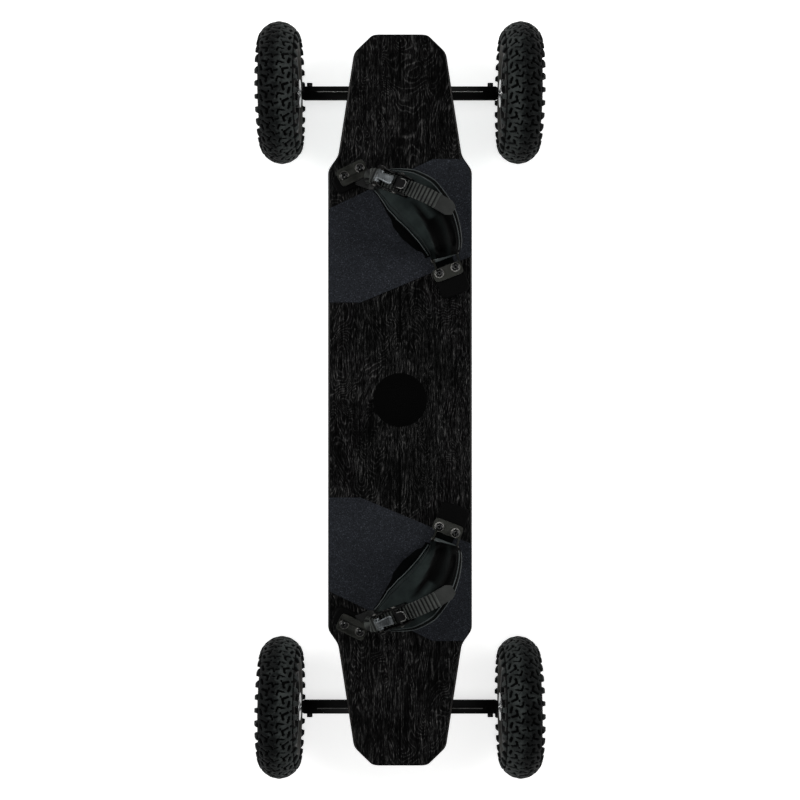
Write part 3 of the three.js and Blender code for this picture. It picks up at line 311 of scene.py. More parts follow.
@dataclass(frozen=True)
class PlyEdge(Finish):
    """Lacquered edge of a pressed laminate: the eye sees thin dark and darker layers."""

    layer_mm: float = 1.5

    def paint(self, tree: Tree, shader: Shader, place: Socket) -> None:
        """Stacks layers of two colours up the edge.

        Args:
            tree: The material's node tree.
            shader: Its Principled shader.
            place: Object coordinates, in metres.
        """
        turns = 2 * math.pi / (2 * self.layer_mm * MM)
        up = add(tree, "SeparateXYZ", {"Vector": place}).outputs["Z"]
        wobble = add(tree, "TexNoise", {"Vector": place, "Scale": 60.0, "Detail": 3.0}).outputs["Fac"]
        swing = add(tree, "Math", {0: wobble, 1: 1.2}, operation="MULTIPLY").outputs[0]
        phase = add(tree, "Math", {0: up, 1: turns, 2: swing}, operation="MULTIPLY_ADD").outputs[0]
        layer = add(tree, "Math", {0: phase}, operation="SINE").outputs[0]
        tone = add(
            tree, "ValToRGB", {"Fac": layer}, stops=[(0.2, self.colour), (0.75, self.light)]
        ).outputs["Color"]
        self.link(tree, tone, shader, "Base Color")
        self.grain(tree, shader, place)


@dataclass(frozen=True)
class ChevronPrint(Finish):
    """Gloss print under lacquer: teal at the nose fading to black, with a generic chevron pattern."""

    pitch_mm: float = 86.0
    line_mm: float = 1.6

    def paint(self, tree: Tree, shader: Shader, place: Socket) -> None:
        """Fades teal to black along the board and lays chevron bands and pale lines over it.

        Args:
            tree: The material's node tree.
            shader: Its Principled shader.
            place: Object coordinates, in metres.
        """
        parts = add(tree, "SeparateXYZ", {"Vector": place}).outputs
        fold = add(tree, "Math", {0: parts["X"]}, operation="ABSOLUTE").outputs[0]
        sweep = add(tree, "Math", {0: fold, 1: -0.9, 2: parts["Y"]}, operation="MULTIPLY_ADD").outputs[0]
        along = add(
            tree, "MapRange", {"Value": parts["Y"], "From Min": -0.51, "From Max": 0.51}
        ).outputs["Result"]
        tail = [(0.0, "0d6465"), (0.13, "083536"), (0.3, "020708")]
        nose = [(0.58, "031012"), (0.74, "0a7d7d"), (0.87, "12bbb3"), (1.0, "18cfc5")]
        ground = add(tree, "ValToRGB", {"Fac": along}, stops=[*tail, *nose]).outputs["Color"]
        count = add(tree, "Math", {0: sweep, 1: 1 / (self.pitch_mm * MM)}, operation="MULTIPLY").outputs[0]
        share = add(tree, "Math", {0: count}, operation="FRACT").outputs[0]
        first, second = [(0.0, "7c7c7c"), (0.33, "f0f0f0")], [(0.34, "a4a4a4"), (0.66, "c8c8c8")]
        tones = [*first, *second, (0.67, "ffffff"), (1.0, "b8b8b8")]
        tint = add(tree, "ValToRGB", {"Fac": share}, stops=tones).outputs["Color"]
        bands = add(
            tree, "Mix", {"Factor": 1.0, "A": ground, "B": tint}, data_type="RGBA", blend_type="MULTIPLY"
        ).outputs["Result"]
        away = add(tree, "Math", {0: share, 1: 0.335}, operation="SUBTRACT").outputs[0]
        gap = add(tree, "Math", {0: away}, operation="ABSOLUTE").outputs[0]
        half = self.line_mm / self.pitch_mm / 2
        line = add(tree, "Math", {0: gap, 1: half}, operation="LESS_THAN").outputs[0]
        paler = {"Value": along, "From Min": 0.5, "From Max": 0.8, "To Min": 0.12, "To Max": 0.85}
        strength = add(tree, "MapRange", paler).outputs["Result"]
        fade = add(tree, "Math", {0: line, 1: strength}, operation="MULTIPLY").outputs[0]
        cloud = add(tree, "TexNoise", {"Vector": place, "Scale": 14.0, "Detail": 5.0}).outputs["Fac"]
        mist = {"Value": cloud, "From Min": 0.35, "From Max": 0.65, "To Min": 0.7, "To Max": 1.15}
        clear = add(tree, "MapRange", mist).outputs["Result"]
        misted = add(
            tree, "Mix", {"Factor": 1.0, "A": bands, "B": clear}, data_type="RGBA", blend_type="MULTIPLY"
        ).outputs["Result"]
        final = add(
            tree, "Mix", {"Factor": fade, "A": misted, "B": "d9f2ef"}, data_type="RGBA"
        ).outputs["Result"]
        self.link(tree, final, shader, "Base Color")
        self.grain(tree, shader, place)


@dataclass(frozen=True)
class Grit(Finish):
    """Grip sheet of crushed grit in resin: the eye sees a rough dark blue-grey with fine pale specks.

    The real grains are about 0.5 mm, and are drawn at speck_mm so that they show.
    """

    speck_mm: float = 1.0

    def paint(self, tree: Tree, shader: Shader, place: Socket) -> None:
        """Scatters pale and dark grains over the ground colour.

        Args:
            tree: The material's node tree.
            shader: Its Principled shader.
            place: Object coordinates, in metres.
        """
        cells = add(
            tree, "TexVoronoi", {"Vector": place, "Scale": 1 / (self.speck_mm * MM), "Randomness": 1.0}
        ).outputs
        draw = add(tree, "SeparateColor", {"Color": cells["Color"]}).outputs["Red"]
        tones = [(0.0, "181a1d"), (0.35, self.colour), (0.75, "26282d"), (0.92, self.light), (1.0, "3e4148")]
        tone = add(tree, "ValToRGB", {"Fac": draw}, stops=tones).outputs["Color"]
        cloud = add(tree, "TexNoise", {"Vector": place, "Scale": 26.0, "Detail": 4.0}).outputs["Fac"]
        dark = {"Value": cloud, "From Min": 0.3, "From Max": 0.7, "To Min": 0.88, "To Max": 1.1}
        shade = add(tree, "MapRange", dark).outputs["Result"]
        tinted = add(
            tree, "Mix", {"Factor": 1.0, "A": tone, "B": shade}, data_type="RGBA", blend_type="MULTIPLY"
        ).outputs["Result"]
        self.link(tree, tinted, shader, "Base Color")
        bump = add(
            tree, "Bump", {"Height": cells["Distance"], "Distance": self.relief_mm * MM, "Strength": 1.0}
        )
        self.link(tree, bump.outputs["Normal"], shader, "Normal")


@dataclass(frozen=True)
class WornFinish(Finish):
    """A finish whose high places are worn paler. The mesh's attribute wear says how high each place is."""

    worn: str = "3a3d3b"

    def paint(self, tree: Tree, shader: Shader, place: Socket) -> None:
        """Mixes the ground colours with the worn one by the wear attribute, broken up by noise.

        Args:
            tree: The material's node tree.
            shader: Its Principled shader.
            place: Object coordinates, in metres.
        """
        cloud = add(tree, "TexNoise", {"Vector": place, "Scale": 60.0, "Detail": 5.0}).outputs["Fac"]
        ground = add(
            tree, "ValToRGB", {"Fac": cloud}, stops=[(0.35, self.colour), (0.7, self.light)]
        ).outputs["Color"]
        wear = add(tree, "Attribute", attribute_name="wear").outputs["Fac"]
        patchy = {"Value": cloud, "From Min": 0.3, "From Max": 0.65, "To Min": 0.45, "To Max": 1.0}
        broken = add(tree, "MapRange", patchy).outputs["Result"]
        amount = add(tree, "Math", {0: wear, 1: broken}, operation="MULTIPLY", use_clamp=True).outputs[0]
        final = add(
            tree, "Mix", {"Factor": amount, "A": ground, "B": self.worn}, data_type="RGBA"
        ).outputs["Result"]
        self.link(tree, final, shader, "Base Color")
        self.grain(tree, shader, place)


@dataclass(frozen=True)
class TyreRubber(Finish):
    """Moulded tyre rubber: the eye sees near black grooves, painted shade with some dirt, and dark grey blocks.

    The mesh's attribute zone is 0 in the grooves, 0.5 on the blocks, higher where painted highlight and painted
    light fall on them, and 1 on the sidewalls, whose warm grey is partly their own tint and partly painted light.
    """

    # Painted shade, with some dirt: the colour of the grooves.
    groove: str = "010101"
    # Painted light over the rubber's own warm tint: the colour of the sidewalls.
    sidewall_tint_and_light: str = "2f2d29"

    def paint(self, tree: Tree, shader: Shader, place: Socket) -> None:
        """Colours grooves, blocks and sidewalls by the zone attribute, broken up by noise.

        Args:
            tree: The material's node tree.
            shader: Its Principled shader.
            place: Object coordinates, in metres.
        """
        noise = {"Vector": place, "Scale": 70.0, "Detail": 6.0, "Roughness": 0.65}
        cloud = add(tree, "TexNoise", noise).outputs["Fac"]
        zone = add(tree, "Attribute", attribute_name="zone").outputs["Fac"]
        patchy = {"Value": cloud, "From Min": 0.3, "From Max": 0.7, "To Min": -0.12, "To Max": 0.1}
        drift = add(tree, "MapRange", patchy).outputs["Result"]
        here = add(tree, "Math", {0: zone, 1: drift}, operation="ADD", use_clamp=True).outputs[0]
        # The palest block stop is reached only where painted highlight and painted light are added.
        blocks = [(0.3, self.colour), (0.47, self.light), (0.68, "3c403f")]
        tones = [(0.0, self.groove), *blocks, (1.0, self.sidewall_tint_and_light)]
        tone = add(tree, "ValToRGB", {"Fac": here}, stops=tones).outputs["Color"]
        self.link(tree, tone, shader, "Base Color")
        self.grain(tree, shader, place)
        gloss = {"Value": cloud, "From Min": 0.3, "From Max": 0.7, "To Min": 0.5, "To Max": 0.7}
        self.link(tree, add(tree, "MapRange", gloss).outputs["Result"], shader, "Roughness")


@dataclass(frozen=True)
class BrushedMetal(Finish):
    """Metal with fine tool lines and a few scratches, as turned, pressed or cast and polished."""

    lines_mm: float = 0.25
    scratch: float = 0.12

    def paint(self, tree: Tree, shader: Shader, place: Socket) -> None:
        """Draws fine lines in colour, shine and relief, with scattered scratches.

        Args:
            tree: The material's node tree.
            shader: Its Principled shader.
            place: Object coordinates, in metres.
        """
        stretch = add(
            tree, "Mapping", {"Vector": place, "Scale": (1 / (self.lines_mm * MM), 60.0, 60.0)}
        ).outputs[0]
        lines = add(tree, "TexNoise", {"Vector": stretch, "Scale": 1.0, "Detail": 3.0}).outputs["Fac"]
        cloud = add(tree, "TexNoise", {"Vector": place, "Scale": 90.0, "Detail": 6.0}).outputs["Fac"]
        both = add(tree, "Math", {0: lines, 1: cloud}, operation="ADD").outputs[0]
        mean = add(tree, "Math", {0: both, 1: 0.5}, operation="MULTIPLY").outputs[0]
        tone = add(
            tree, "ValToRGB", {"Fac": mean}, stops=[(0.36, self.colour), (0.64, self.light)]
        ).outputs["Color"]
        self.link(tree, tone, shader, "Base Color")
        low, high = self.roughness - self.scratch, self.roughness + self.scratch
        gloss = {"Value": cloud, "From Min": 0.3, "From Max": 0.7, "To Min": low, "To Max": high}
        self.link(tree, add(tree, "MapRange", gloss).outputs["Result"], shader, "Roughness")
        bump = add(tree, "Bump", {"Height": both, "Distance": self.relief_mm * MM, "Strength": 0.7})
        self.link(tree, bump.outputs["Normal"], shader, "Normal")


@dataclass(frozen=True)
class CoatedCloth(Finish):
    """Coated nylon over foam: a close weave under a satin skin. Attribute recess mixes in near black: the dark mesh
    in the pressed recesses, and painted shade.
    """

    thread_mm: float = 1.1
    # Near black for the recesses and for painted shade.
    pressed: str = "010101"

    def paint(self, tree: Tree, shader: Shader, place: Socket) -> None:
        """Weaves threads along the piece's own UV map, which is in metres, and darkens the recesses.

        Args:
            tree: The material's node tree.
            shader: Its Principled shader.
            place: Object coordinates, in metres.
        """
        sheet = add(tree, "UVMap", uv_map="cloth").outputs["UV"]
        turns = 2 * math.pi / (2 * self.thread_mm * MM)
        flat = add(tree, "SeparateXYZ", {"Vector": sheet}).outputs
        waves = []
        for axis in ("X", "Y"):
            angle = add(tree, "Math", {0: flat[axis], 1: turns}, operation="MULTIPLY").outputs[0]
            waves.append(add(tree, "Math", {0: angle}, operation="SINE").outputs[0])
        weave = add(tree, "Math", {0: waves[0], 1: waves[1]}, operation="MULTIPLY").outputs[0]
        cloud = add(tree, "TexNoise", {"Vector": place, "Scale": 42.0, "Detail": 6.0}).outputs["Fac"]
        tone = add(
            tree, "ValToRGB", {"Fac": cloud}, stops=[(0.3, self.colour), (0.72, self.light)]
        ).outputs["Color"]
        recess = add(tree, "Attribute", attribute_name="recess").outputs["Fac"]
        final = add(
            tree, "Mix", {"Factor": recess, "A": tone, "B": self.pressed}, data_type="RGBA"
        ).outputs["Result"]
        self.link(tree, final, shader, "Base Color")
        lift = add(tree, "Math", {0: cloud, 1: 3.0, 2: weave}, operation="MULTIPLY_ADD").outputs[0]
        bump = add(tree, "Bump", {"Height": lift, "Distance": self.relief_mm * MM, "Strength": 0.8})
        self.link(tree, bump.outputs["Normal"], shader, "Normal")


class Finishes:
    """The finishes of the board, by what they are and how they were made."""

    # Brushed and stained veneer: near black, with grey pores and arched figure.
    ash = StainedAsh("stained_ash_veneer", "131313", "272727", 0.6, relief_mm=0.15, specular=0.03)
    # Pressed layers under lacquer: fine dark stripes round the rim.
    edge = PlyEdge("lacquered_ply_edge", "0b0a0a", "221e1b", 0.4, grain_mm=0.8, relief_mm=0.03, specular=0.2)
    # Print under lacquer: clear teal that sinks to black, with chevrons.
    print = ChevronPrint(
        "lacquered_chevron_print", "0f9d94", "dff5f2", 0.34, grain_mm=3.0, relief_mm=0.01, specular=0.1
    )
    # Crushed grit in resin: a rough blue-grey with pale specks.
    grit = Grit("crushed_grit_sheet", "212327", "2d3035", 0.93, relief_mm=0.25, specular=0.06)
    # Screen ink: an even, almost shineless black spot on the veneer.
    disc = Finish("satin_print_disc", "010101", "030303", 0.5, grain_mm=2.0, relief_mm=0.01, specular=0.02)
    # Powder coat on an aluminium casting: deep black with a soft pebbled sheen.
    casting = Finish("powder_coated_casting", "020202", "050505", 0.3, grain_mm=0.9, relief_mm=0.03, specular=0.12)
    # Painted highlight: a dull grey metal line of glint along a ridge or rim.
    painted_highlight = BrushedMetal("painted_highlight_line", "4c4c4b", "7e7e7c", 0.4, 0.9, relief_mm=0.01)
    # Oiled black oxide: a black dome with a small sharp highlight.
    head = Finish("black_oxide_bolt_head", "010101", "040404", 0.2, relief_mm=0.01, specular=0.4)
    # Black oxide on turned steel: near black with a metal sheen.
    black_bolt = BrushedMetal("black_oxide_steel", "0a0a0a", "1c1c1c", 0.3, 0.9, relief_mm=0.01)
    # Bright zinc: a clean pale grey that mirrors softly.
    zinc = BrushedMetal("zinc_plated_steel", "8f9091", "c4c5c5", 0.28, 1.0, relief_mm=0.01)
    # Stamped and turned steel: a thin warm grey ring of light.
    washer = BrushedMetal("satin_steel_washer", "403f3e", "757471", 0.34, 1.0, relief_mm=0.01)
    # Pressed steel, tumbled and black zinc plated: a brown-grey sheen.
    plate = BrushedMetal("tumbled_black_zinc_plate", "191a17", "2e2f2b", 0.44, 0.75, relief_mm=0.02)
    # Cast aluminium, polished and worn: bright and cloudy with scratches.
    lever = BrushedMetal("worn_cast_aluminium", "3b3e40", "767a7c", 0.36, 0.95, relief_mm=0.05, scratch=0.16)
    # Drawn wire: dark grey with a fine bright line.
    wire = BrushedMetal("spring_steel_wire", "333331", "6f6d69", 0.3, 1.0, relief_mm=0.01)
    # Cast urethane: a waxy black.
    urethane = Finish("cast_urethane", "0c0c0c", "161616", 0.42, grain_mm=1.5, relief_mm=0.02)
    # Moulded nylon with glass fibre: a dry satin black.
    nylon = Finish("glass_filled_nylon", "030303", "080808", 0.5, grain_mm=0.7, relief_mm=0.04, specular=0.08)
    # Moulded rubber: a flat black that swallows light.
    block = Finish("moulded_rubber_block", "010101", "040404", 0.72, grain_mm=0.8, relief_mm=0.06, specular=0.06)
    # Butyl rubber dusted with talc: a dull grey-black.
    tube = Finish("butyl_tube", "0b0b0b", "141414", 0.7, grain_mm=1.0, relief_mm=0.03)
    # Moulded rubber: dull grey blocks over grooves darkened by painted shade and dirt, and walls paler with their
    # own tint and painted light.
    tyre = TyreRubber("moulded_tyre_rubber", "080909", "121414", 0.6, grain_mm=1.2, relief_mm=0.1, specular=0.05)
    # Injected polyurethane: black between the ribs, scuffed grey-green on them.
    ladder = WornFinish(
        "moulded_polyurethane_ladder",
        "050606",
        "0b0c0b",
        0.5,
        grain_mm=0.9,
        relief_mm=0.04,
        specular=0.2,
        worn="424542",
    )
    # Coated nylon over foam: a soft grey-green, near black in the pressed places and where shade is painted.
    shell = CoatedCloth("coated_nylon_shell", "191e1e", "2a3130", 0.5, grain_mm=1.0, relief_mm=0.06, specular=0.03)
    # Open mesh: a coarse flat black.
    lining = CoatedCloth("black_mesh_lining", "010202", "040505", 0.8, relief_mm=0.2, specular=0.02, thread_mm=1.5)
    # Extruded vinyl: a thin grey line with a soft gloss.
    piping = Finish("vinyl_piping", "262c2c", "424848", 0.38, grain_mm=1.2, relief_mm=0.02)
    # Twisted polyester: dark dashes along the seams.
    thread = Finish("polyester_thread", "0d0f0f", "1a1d1d", 0.7, grain_mm=0.5, relief_mm=0.05)


# Surfaces


@dataclass
class Patch:
    """Part of a mesh: its points in millimetres, its faces, its finish number and what varies over it."""

    points: Array
    faces: list[tuple[int, ...]]
    finish: int | Array = 0
    flat: Array | None = None
    values: dict[str, Array] = field(default_factory=dict)

    def placed(self, matrix: Array) -> "Patch":
        """Returns the patch moved by a 4 by 4 matrix."""
        moved = self.points @ matrix[:3, :3].T + matrix[:3, 3]
        return Patch(moved, self.faces, self.finish, self.flat, self.values)


def ring_grid(rows: Array, closed_rows: bool = False, finish: int | Array = 0) -> Patch:
    """Joins rings of points: quads between neighbouring rings, and a flat face at each open end.

    Args:
        rows: Points of each ring, as rings by points by 3.
        closed_rows: Whether the last ring joins the first.
        finish: A finish number, or one for each column of quads.

    Returns:
        The patch.
    """
    count, around = rows.shape[:2]
    index = np.arange(count * around).reshape(count, around)
    upper = index if closed_rows else index[:-1]
    lower = np.roll(index, -1, 0) if closed_rows else index[1:]
    quads = np.stack([upper, np.roll(upper, -1, 1), np.roll(lower, -1, 1), lower], -1).reshape(-1, 4)
    numbers = np.broadcast_to(np.asarray(finish), (upper.shape[0], around)).reshape(-1)
    faces = [tuple(quad) for quad in quads.tolist()]
    if not closed_rows:
        faces += [tuple(index[0, ::-1].tolist()), tuple(index[-1].tolist())]
        numbers = np.append(numbers, [numbers[0], numbers[-1]])
    return Patch(rows.reshape(-1, 3).astype(float), faces, numbers)


def turned(profile: Profile, turns: int = 64, finish: int = 0) -> Patch:
    """Turns a closed profile about Z: each point goes to (r cos a, r sin a, z).

    Args:
        profile: Radius and height pairs. A profile that starts on the axis is capped there.
        turns: How many steps go round.
        finish: The finish number.

    Returns:
        The patch, which is a ring if the profile stays off the axis.
    """
    points = np.array(profile, float)
    angle = np.arange(turns) * 2 * np.pi / turns
    radius = np.maximum(points[:, :1], 1e-3)
    rows = np.stack(
        [radius * np.cos(angle), radius * np.sin(angle), np.repeat(points[:, 1:], turns, 1)], -1
    )
    off_axis = points[0, 0] > 0.01 and points[-1, 0] > 0.01
    return ring_grid(rows, closed_rows=off_axis, finish=finish)


def softened(profile: Profile, reach: float, steps: int = 3, closed: bool = True) -> Array:
    """Rounds the corners of an outline: each corner becomes a quadratic curve that starts reach before it.

    Args:
        profile: The outline's corners.
        reach: How far from a corner its curve starts.
        steps: Points on each curve, less one.
        closed: Whether the last corner joins the first.

    Returns:
        The rounded outline.
    """
    corners = np.array(profile, float)
    before = np.roll(corners, 1, 0)
    after = np.roll(corners, -1, 0)
    share = np.linspace(0, 1, steps + 1)[:, None, None]

    def towards(other: Array) -> Array:
        """Returns the point on the way to a neighbour where the curve starts."""
        gap = other - corners
        length = np.linalg.norm(gap, axis=1, keepdims=True)
        return corners + gap * np.minimum(reach / np.maximum(length, 1e-9), 0.45)

    curve = (1 - share) ** 2 * towards(before) + 2 * share * (1 - share) * corners + share**2 * towards(after)
    rounded = curve.transpose(1, 0, 2)
    if not closed:
        rounded[0] = corners[0]
        rounded[-1] = corners[-1]
    return rounded.reshape(-1, corners.shape[1])


def lathe(profile: Profile, reach: float, turns: int = 72, finish: int = 0, closed: bool = True) -> Patch:
    """Turns a profile whose corners are rounded by reach about Z. An open profile ends on the axis."""
    return turned(softened(profile, reach, closed=closed), turns, finish)


def rod(radius: float, low: float, high: float, edge: float = 0.4, turns: int = 40, finish: int = 0) -> Patch:
    """Makes an upright rod whose end edges are rounded by a quarter circle of radius edge."""
    bend = np.linspace(0, np.pi / 2, 4)
    rim = radius - edge + edge * np.sin(bend)
    lower = np.stack([rim, low + edge - edge * np.cos(bend)], 1)
    upper = np.stack([rim[::-1], high - edge + edge * np.cos(bend[::-1])], 1)
    return turned(np.vstack([[0.0, low], lower, upper, [0.0, high]]), turns, finish)


def tube(
    inner: float, outer: float, low: float, high: float, edge: float = 0.5, turns: int = 64, finish: int = 0
) -> Patch:
    """Makes an upright tube wall whose four edges are rounded."""
    return lathe([(inner, low), (outer, low), (outer, high), (inner, high)], edge, turns, finish)


def prism(outline: Array, low: float, high: float, edge: float = 0.0, finish: int = 0) -> Patch:
    """Raises a plan outline from low to high; with an edge, its rims draw in over that height.

    Args:
        outline: Corners in order, as x and y.
        low: Height of the underside.
        high: Height of the top.
        edge: How far both rims are drawn in, at 45 degrees in two steps.
        finish: The finish number.

    Returns:
        The patch.
    """
    plan = np.array(outline, float)
    middle = plan.mean(0)
    size = np.abs(plan - middle).max(0)

    def ring(inset: float, height: float) -> Array:
        """Returns the outline drawn in towards its middle by about an inset."""
        drawn = middle + (plan - middle) * (1 - inset / size)
        return np.column_stack([drawn, np.full(len(plan), height)])

    # Inset and distance from the end face of each step of a rim.
    rim = [(edge, 0.0), (edge * 0.3, edge * 0.3), (0.0, edge)] if edge else [(0.0, 0.0)]
    rows = [ring(inset, low + rise) for inset, rise in rim]
    rows += [ring(inset, high - rise) for inset, rise in reversed(rim)]
    return ring_grid(np.array(rows), finish=finish)


def hexagon(radius: float) -> Array:
    """Returns the six corners of a hexagon."""
    angle = np.arange(6) * np.pi / 3
    return np.stack([radius * np.cos(angle), radius * np.sin(angle)], 1)


def swept(centre: Array, across: Array, out: Array, section: Array, finish: int | Array = 0) -> Patch:
    """Carries a section along a path: each point is centre + s across + t out.

    Args:
        centre: Points of the path.
        across: Unit vector of the section's first direction at each point.
        out: Unit vector of its second direction.
        section: The section's points at each path point, as rings by points by 2.
        finish: The finish number, or one for each side of the section.

    Returns:
        The patch.
    """
    sections = np.broadcast_to(section, (len(centre), *np.shape(section)[-2:]))
    rows = centre[:, None] + sections[..., :1] * across[:, None] + sections[..., 1:] * out[:, None]
    return ring_grid(rows, finish=finish)


def stations(along: Array, across: Array, up: Array) -> Patch:
    """Joins sections that stand across X: station i has its points at (along i, across i j, up i j)."""
    return ring_grid(np.stack([along[:, None] * np.ones(across.shape[1]), across, up], -1))


def circle(radius: float, count: int = 12) -> Array:
    """Returns points of a circle as a section."""
    angle = np.arange(count) * 2 * np.pi / count
    return radius * np.stack([np.cos(angle), np.sin(angle)], 1)


def cord_along(path: Array, radius: float, count: int = 10, finish: int = 0) -> Patch:
    """Sweeps a circle along a path whose section directions follow it without twisting off Z."""
    ahead = unit(np.gradient(path, axis=0))
    across = unit(np.cross(np.array([0.3, 0.2, 1.0]), ahead))
    return swept(path, across, np.cross(ahead, across), circle(radius, count), finish=finish)


def run_along(path: Array) -> Array:
    """Returns the length run along a path up to each of its points."""
    return np.concatenate([[0], np.cumsum(np.linalg.norm(np.diff(path, axis=0), axis=1))])


def unit(vectors: Array) -> Array:
    """Returns the vectors at length one."""
    return vectors / np.maximum(np.linalg.norm(vectors, axis=-1, keepdims=True), 1e-12)


def smooth(value: Array, low: float, high: float) -> Array:
    """Rises from 0 at low to 1 at high along a cubic with flat ends."""
    share = np.clip((value - low) / (high - low), 0, 1)
    return share * share * (3 - 2 * share)


def shift(x: float = 0, y: float = 0, z: float = 0) -> Array:
    """Returns the matrix of a move."""
    matrix = np.eye(4)
    matrix[:3, 3] = (x, y, z)
    return matrix


def turn(axis: str, degrees: float) -> Array:
    """Returns the matrix of a turn about X, Y or Z."""
    return np.array(Matrix.Rotation(math.radians(degrees), 4, axis))


def facing(point: Sequence[float], direction: Sequence[float]) -> Array:
    """Returns the matrix that stands a piece made along Z at a point, along a direction."""
    quaternion = Vector((0, 0, 1)).rotation_difference(Vector(direction))
    return np.array(Matrix.Translation(Vector(point)) @ quaternion.to_matrix().to_4x4())


MIRROR_Y = np.diag([1.0, -1.0, 1.0, 1.0])
FRAME: dict = {}
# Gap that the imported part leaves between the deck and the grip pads.
GRIP_GAP = 0.3
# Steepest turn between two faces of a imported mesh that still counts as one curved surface.
SHARP_DEGREES = 37


@dataclass
class Piece:
    """A finished object of the board: its patches, finishes, the body it rides on and what it stands for."""

    name: str
    body: str
    patches: list[Patch]
    finishes: list[Finish]
    slot: str
    replaces: tuple[str, ...] = ()
    matrix: Array = field(default_factory=lambda: np.eye(4))
    sharp: float = 40.0

    def build(self) -> bpy.types.Object:
        """Makes the object, welds and turns its faces outwards, and hangs it on its body.

        Returns:
            The object.
        """
        offsets = np.cumsum([0] + [len(patch.points) for patch in self.patches])
        points = np.vstack([patch.placed(self.matrix).points for patch in self.patches]) * MM
        faces = [
            tuple(corner + offset for corner in face)
            for patch, offset in zip(self.patches, offsets.tolist())
            for face in patch.faces
        ]
        mesh = bpy.data.meshes.new(self.name)
        mesh.from_pydata(points, [], faces)
        numbers = np.concatenate(
            [np.broadcast_to(np.asarray(patch.finish), len(patch.faces)) for patch in self.patches]
        )
        mesh.polygons.foreach_set("material_index", numbers.astype(np.int32))
        for name in sorted({key for patch in self.patches for key in patch.values}):
            parts = [patch.values.get(name, np.zeros(len(patch.points))) for patch in self.patches]
            values = np.concatenate(parts).astype(np.float32)
            mesh.attributes.new(name, "FLOAT", "POINT").data.foreach_set("value", values)
        if any(patch.flat is not None for patch in self.patches):
            parts = [np.zeros((len(p.points), 2)) if p.flat is None else p.flat for p in self.patches]
            flat = np.vstack(parts)
            corners = np.empty(len(mesh.loops), np.int32)
            mesh.loops.foreach_get("vertex_index", corners)
            layer = mesh.uv_layers.new(name="cloth")
            layer.data.foreach_set("uv", (flat[corners] * MM).astype(np.float32).ravel())
        self.tidy(mesh)
        made = bpy.data.objects.new(self.name, mesh)
        bpy.context.scene.collection.objects.link(made)
        for finish in self.finishes:
            mesh.materials.append(finish.material())
        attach(made, self.body)
        if self.replaces:
            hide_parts(*self.replaces)
        LOG.info("%s rides on %s", self.name, self.body)
        return made

    def tidy(self, mesh: bpy.types.Mesh) -> None:
        """Welds doubled points, turns faces outwards and marks the sharp edges."""
        work = bmesh.new()
        work.from_mesh(mesh)
        bmesh.ops.remove_doubles(work, verts=work.verts, dist=1e-6)
        bmesh.ops.dissolve_degenerate(work, edges=work.edges, dist=1e-7)
        bmesh.ops.recalc_face_normals(work, faces=work.faces)
        work.to_mesh(mesh)
        work.free()
        mesh.polygons.foreach_set("use_smooth", np.ones(len(mesh.polygons), bool))
        mesh.set_sharp_from_angle(angle=math.radians(self.sharp))


def recut(node: str, name: str, body: str, finish: Finish, bevel: float) -> None:
    """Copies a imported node's mesh, welds it, and finishes its edges with a bevel.

    Args:
        node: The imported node.
        name: The new piece's name.
        body: The body that it rides on.
        finish: Its finish.
        bevel: Width of the bevel.
    """
    source = FRAME["nodes"][node]
    mesh = source.data.copy()
    mesh.name = name
    work = bmesh.new()
    work.from_mesh(mesh)
    bmesh.ops.remove_doubles(work, verts=work.verts, dist=2e-6)
    bmesh.ops.dissolve_limit(work, angle_limit=math.radians(1), verts=work.verts, edges=work.edges)
    work.to_mesh(mesh)
    work.free()
    made = bpy.data.objects.new(name, mesh)
    bpy.context.scene.collection.objects.link(made)
    mesh.materials.clear()
    mesh.materials.append(finish.material())
    mesh.polygons.foreach_set("material_index", np.zeros(len(mesh.polygons), np.int32))
    mesh.polygons.foreach_set("use_smooth", np.ones(len(mesh.polygons), bool))
    mesh.set_sharp_from_angle(angle=math.radians(SHARP_DEGREES))
    rim = made.modifiers.new("bevel", "BEVEL")
    rim.width = bevel * MM
    rim.segments = 2
    rim.limit_method = "ANGLE"
    rim.angle_limit = math.radians(SHARP_DEGREES + 1)
    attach(made, body)
    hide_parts(node)
    LOG.info("%s stands for %s", name, node)


def repaint(node: str, finish: Finish) -> None:
    """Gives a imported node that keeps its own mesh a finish."""
    made = FRAME["nodes"][node]
    if not made.material_slots:
        made.data.materials.append(finish.material())
    for slot in made.material_slots:
        slot.material = finish.material()


def place_of(joint: str) -> Array:
    """Returns a joint's place in millimetres."""
    found = next(row for row in FRAME["joints"] if row["name"] == joint)
    return np.array(found["pos_m"]) / MM


def deck_top() -> float:
    """Returns the height of the flat middle of the deck, just under the grip pads."""
    return float(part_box("grip_pad_front")[0][2]) / MM - GRIP_GAP


# The board


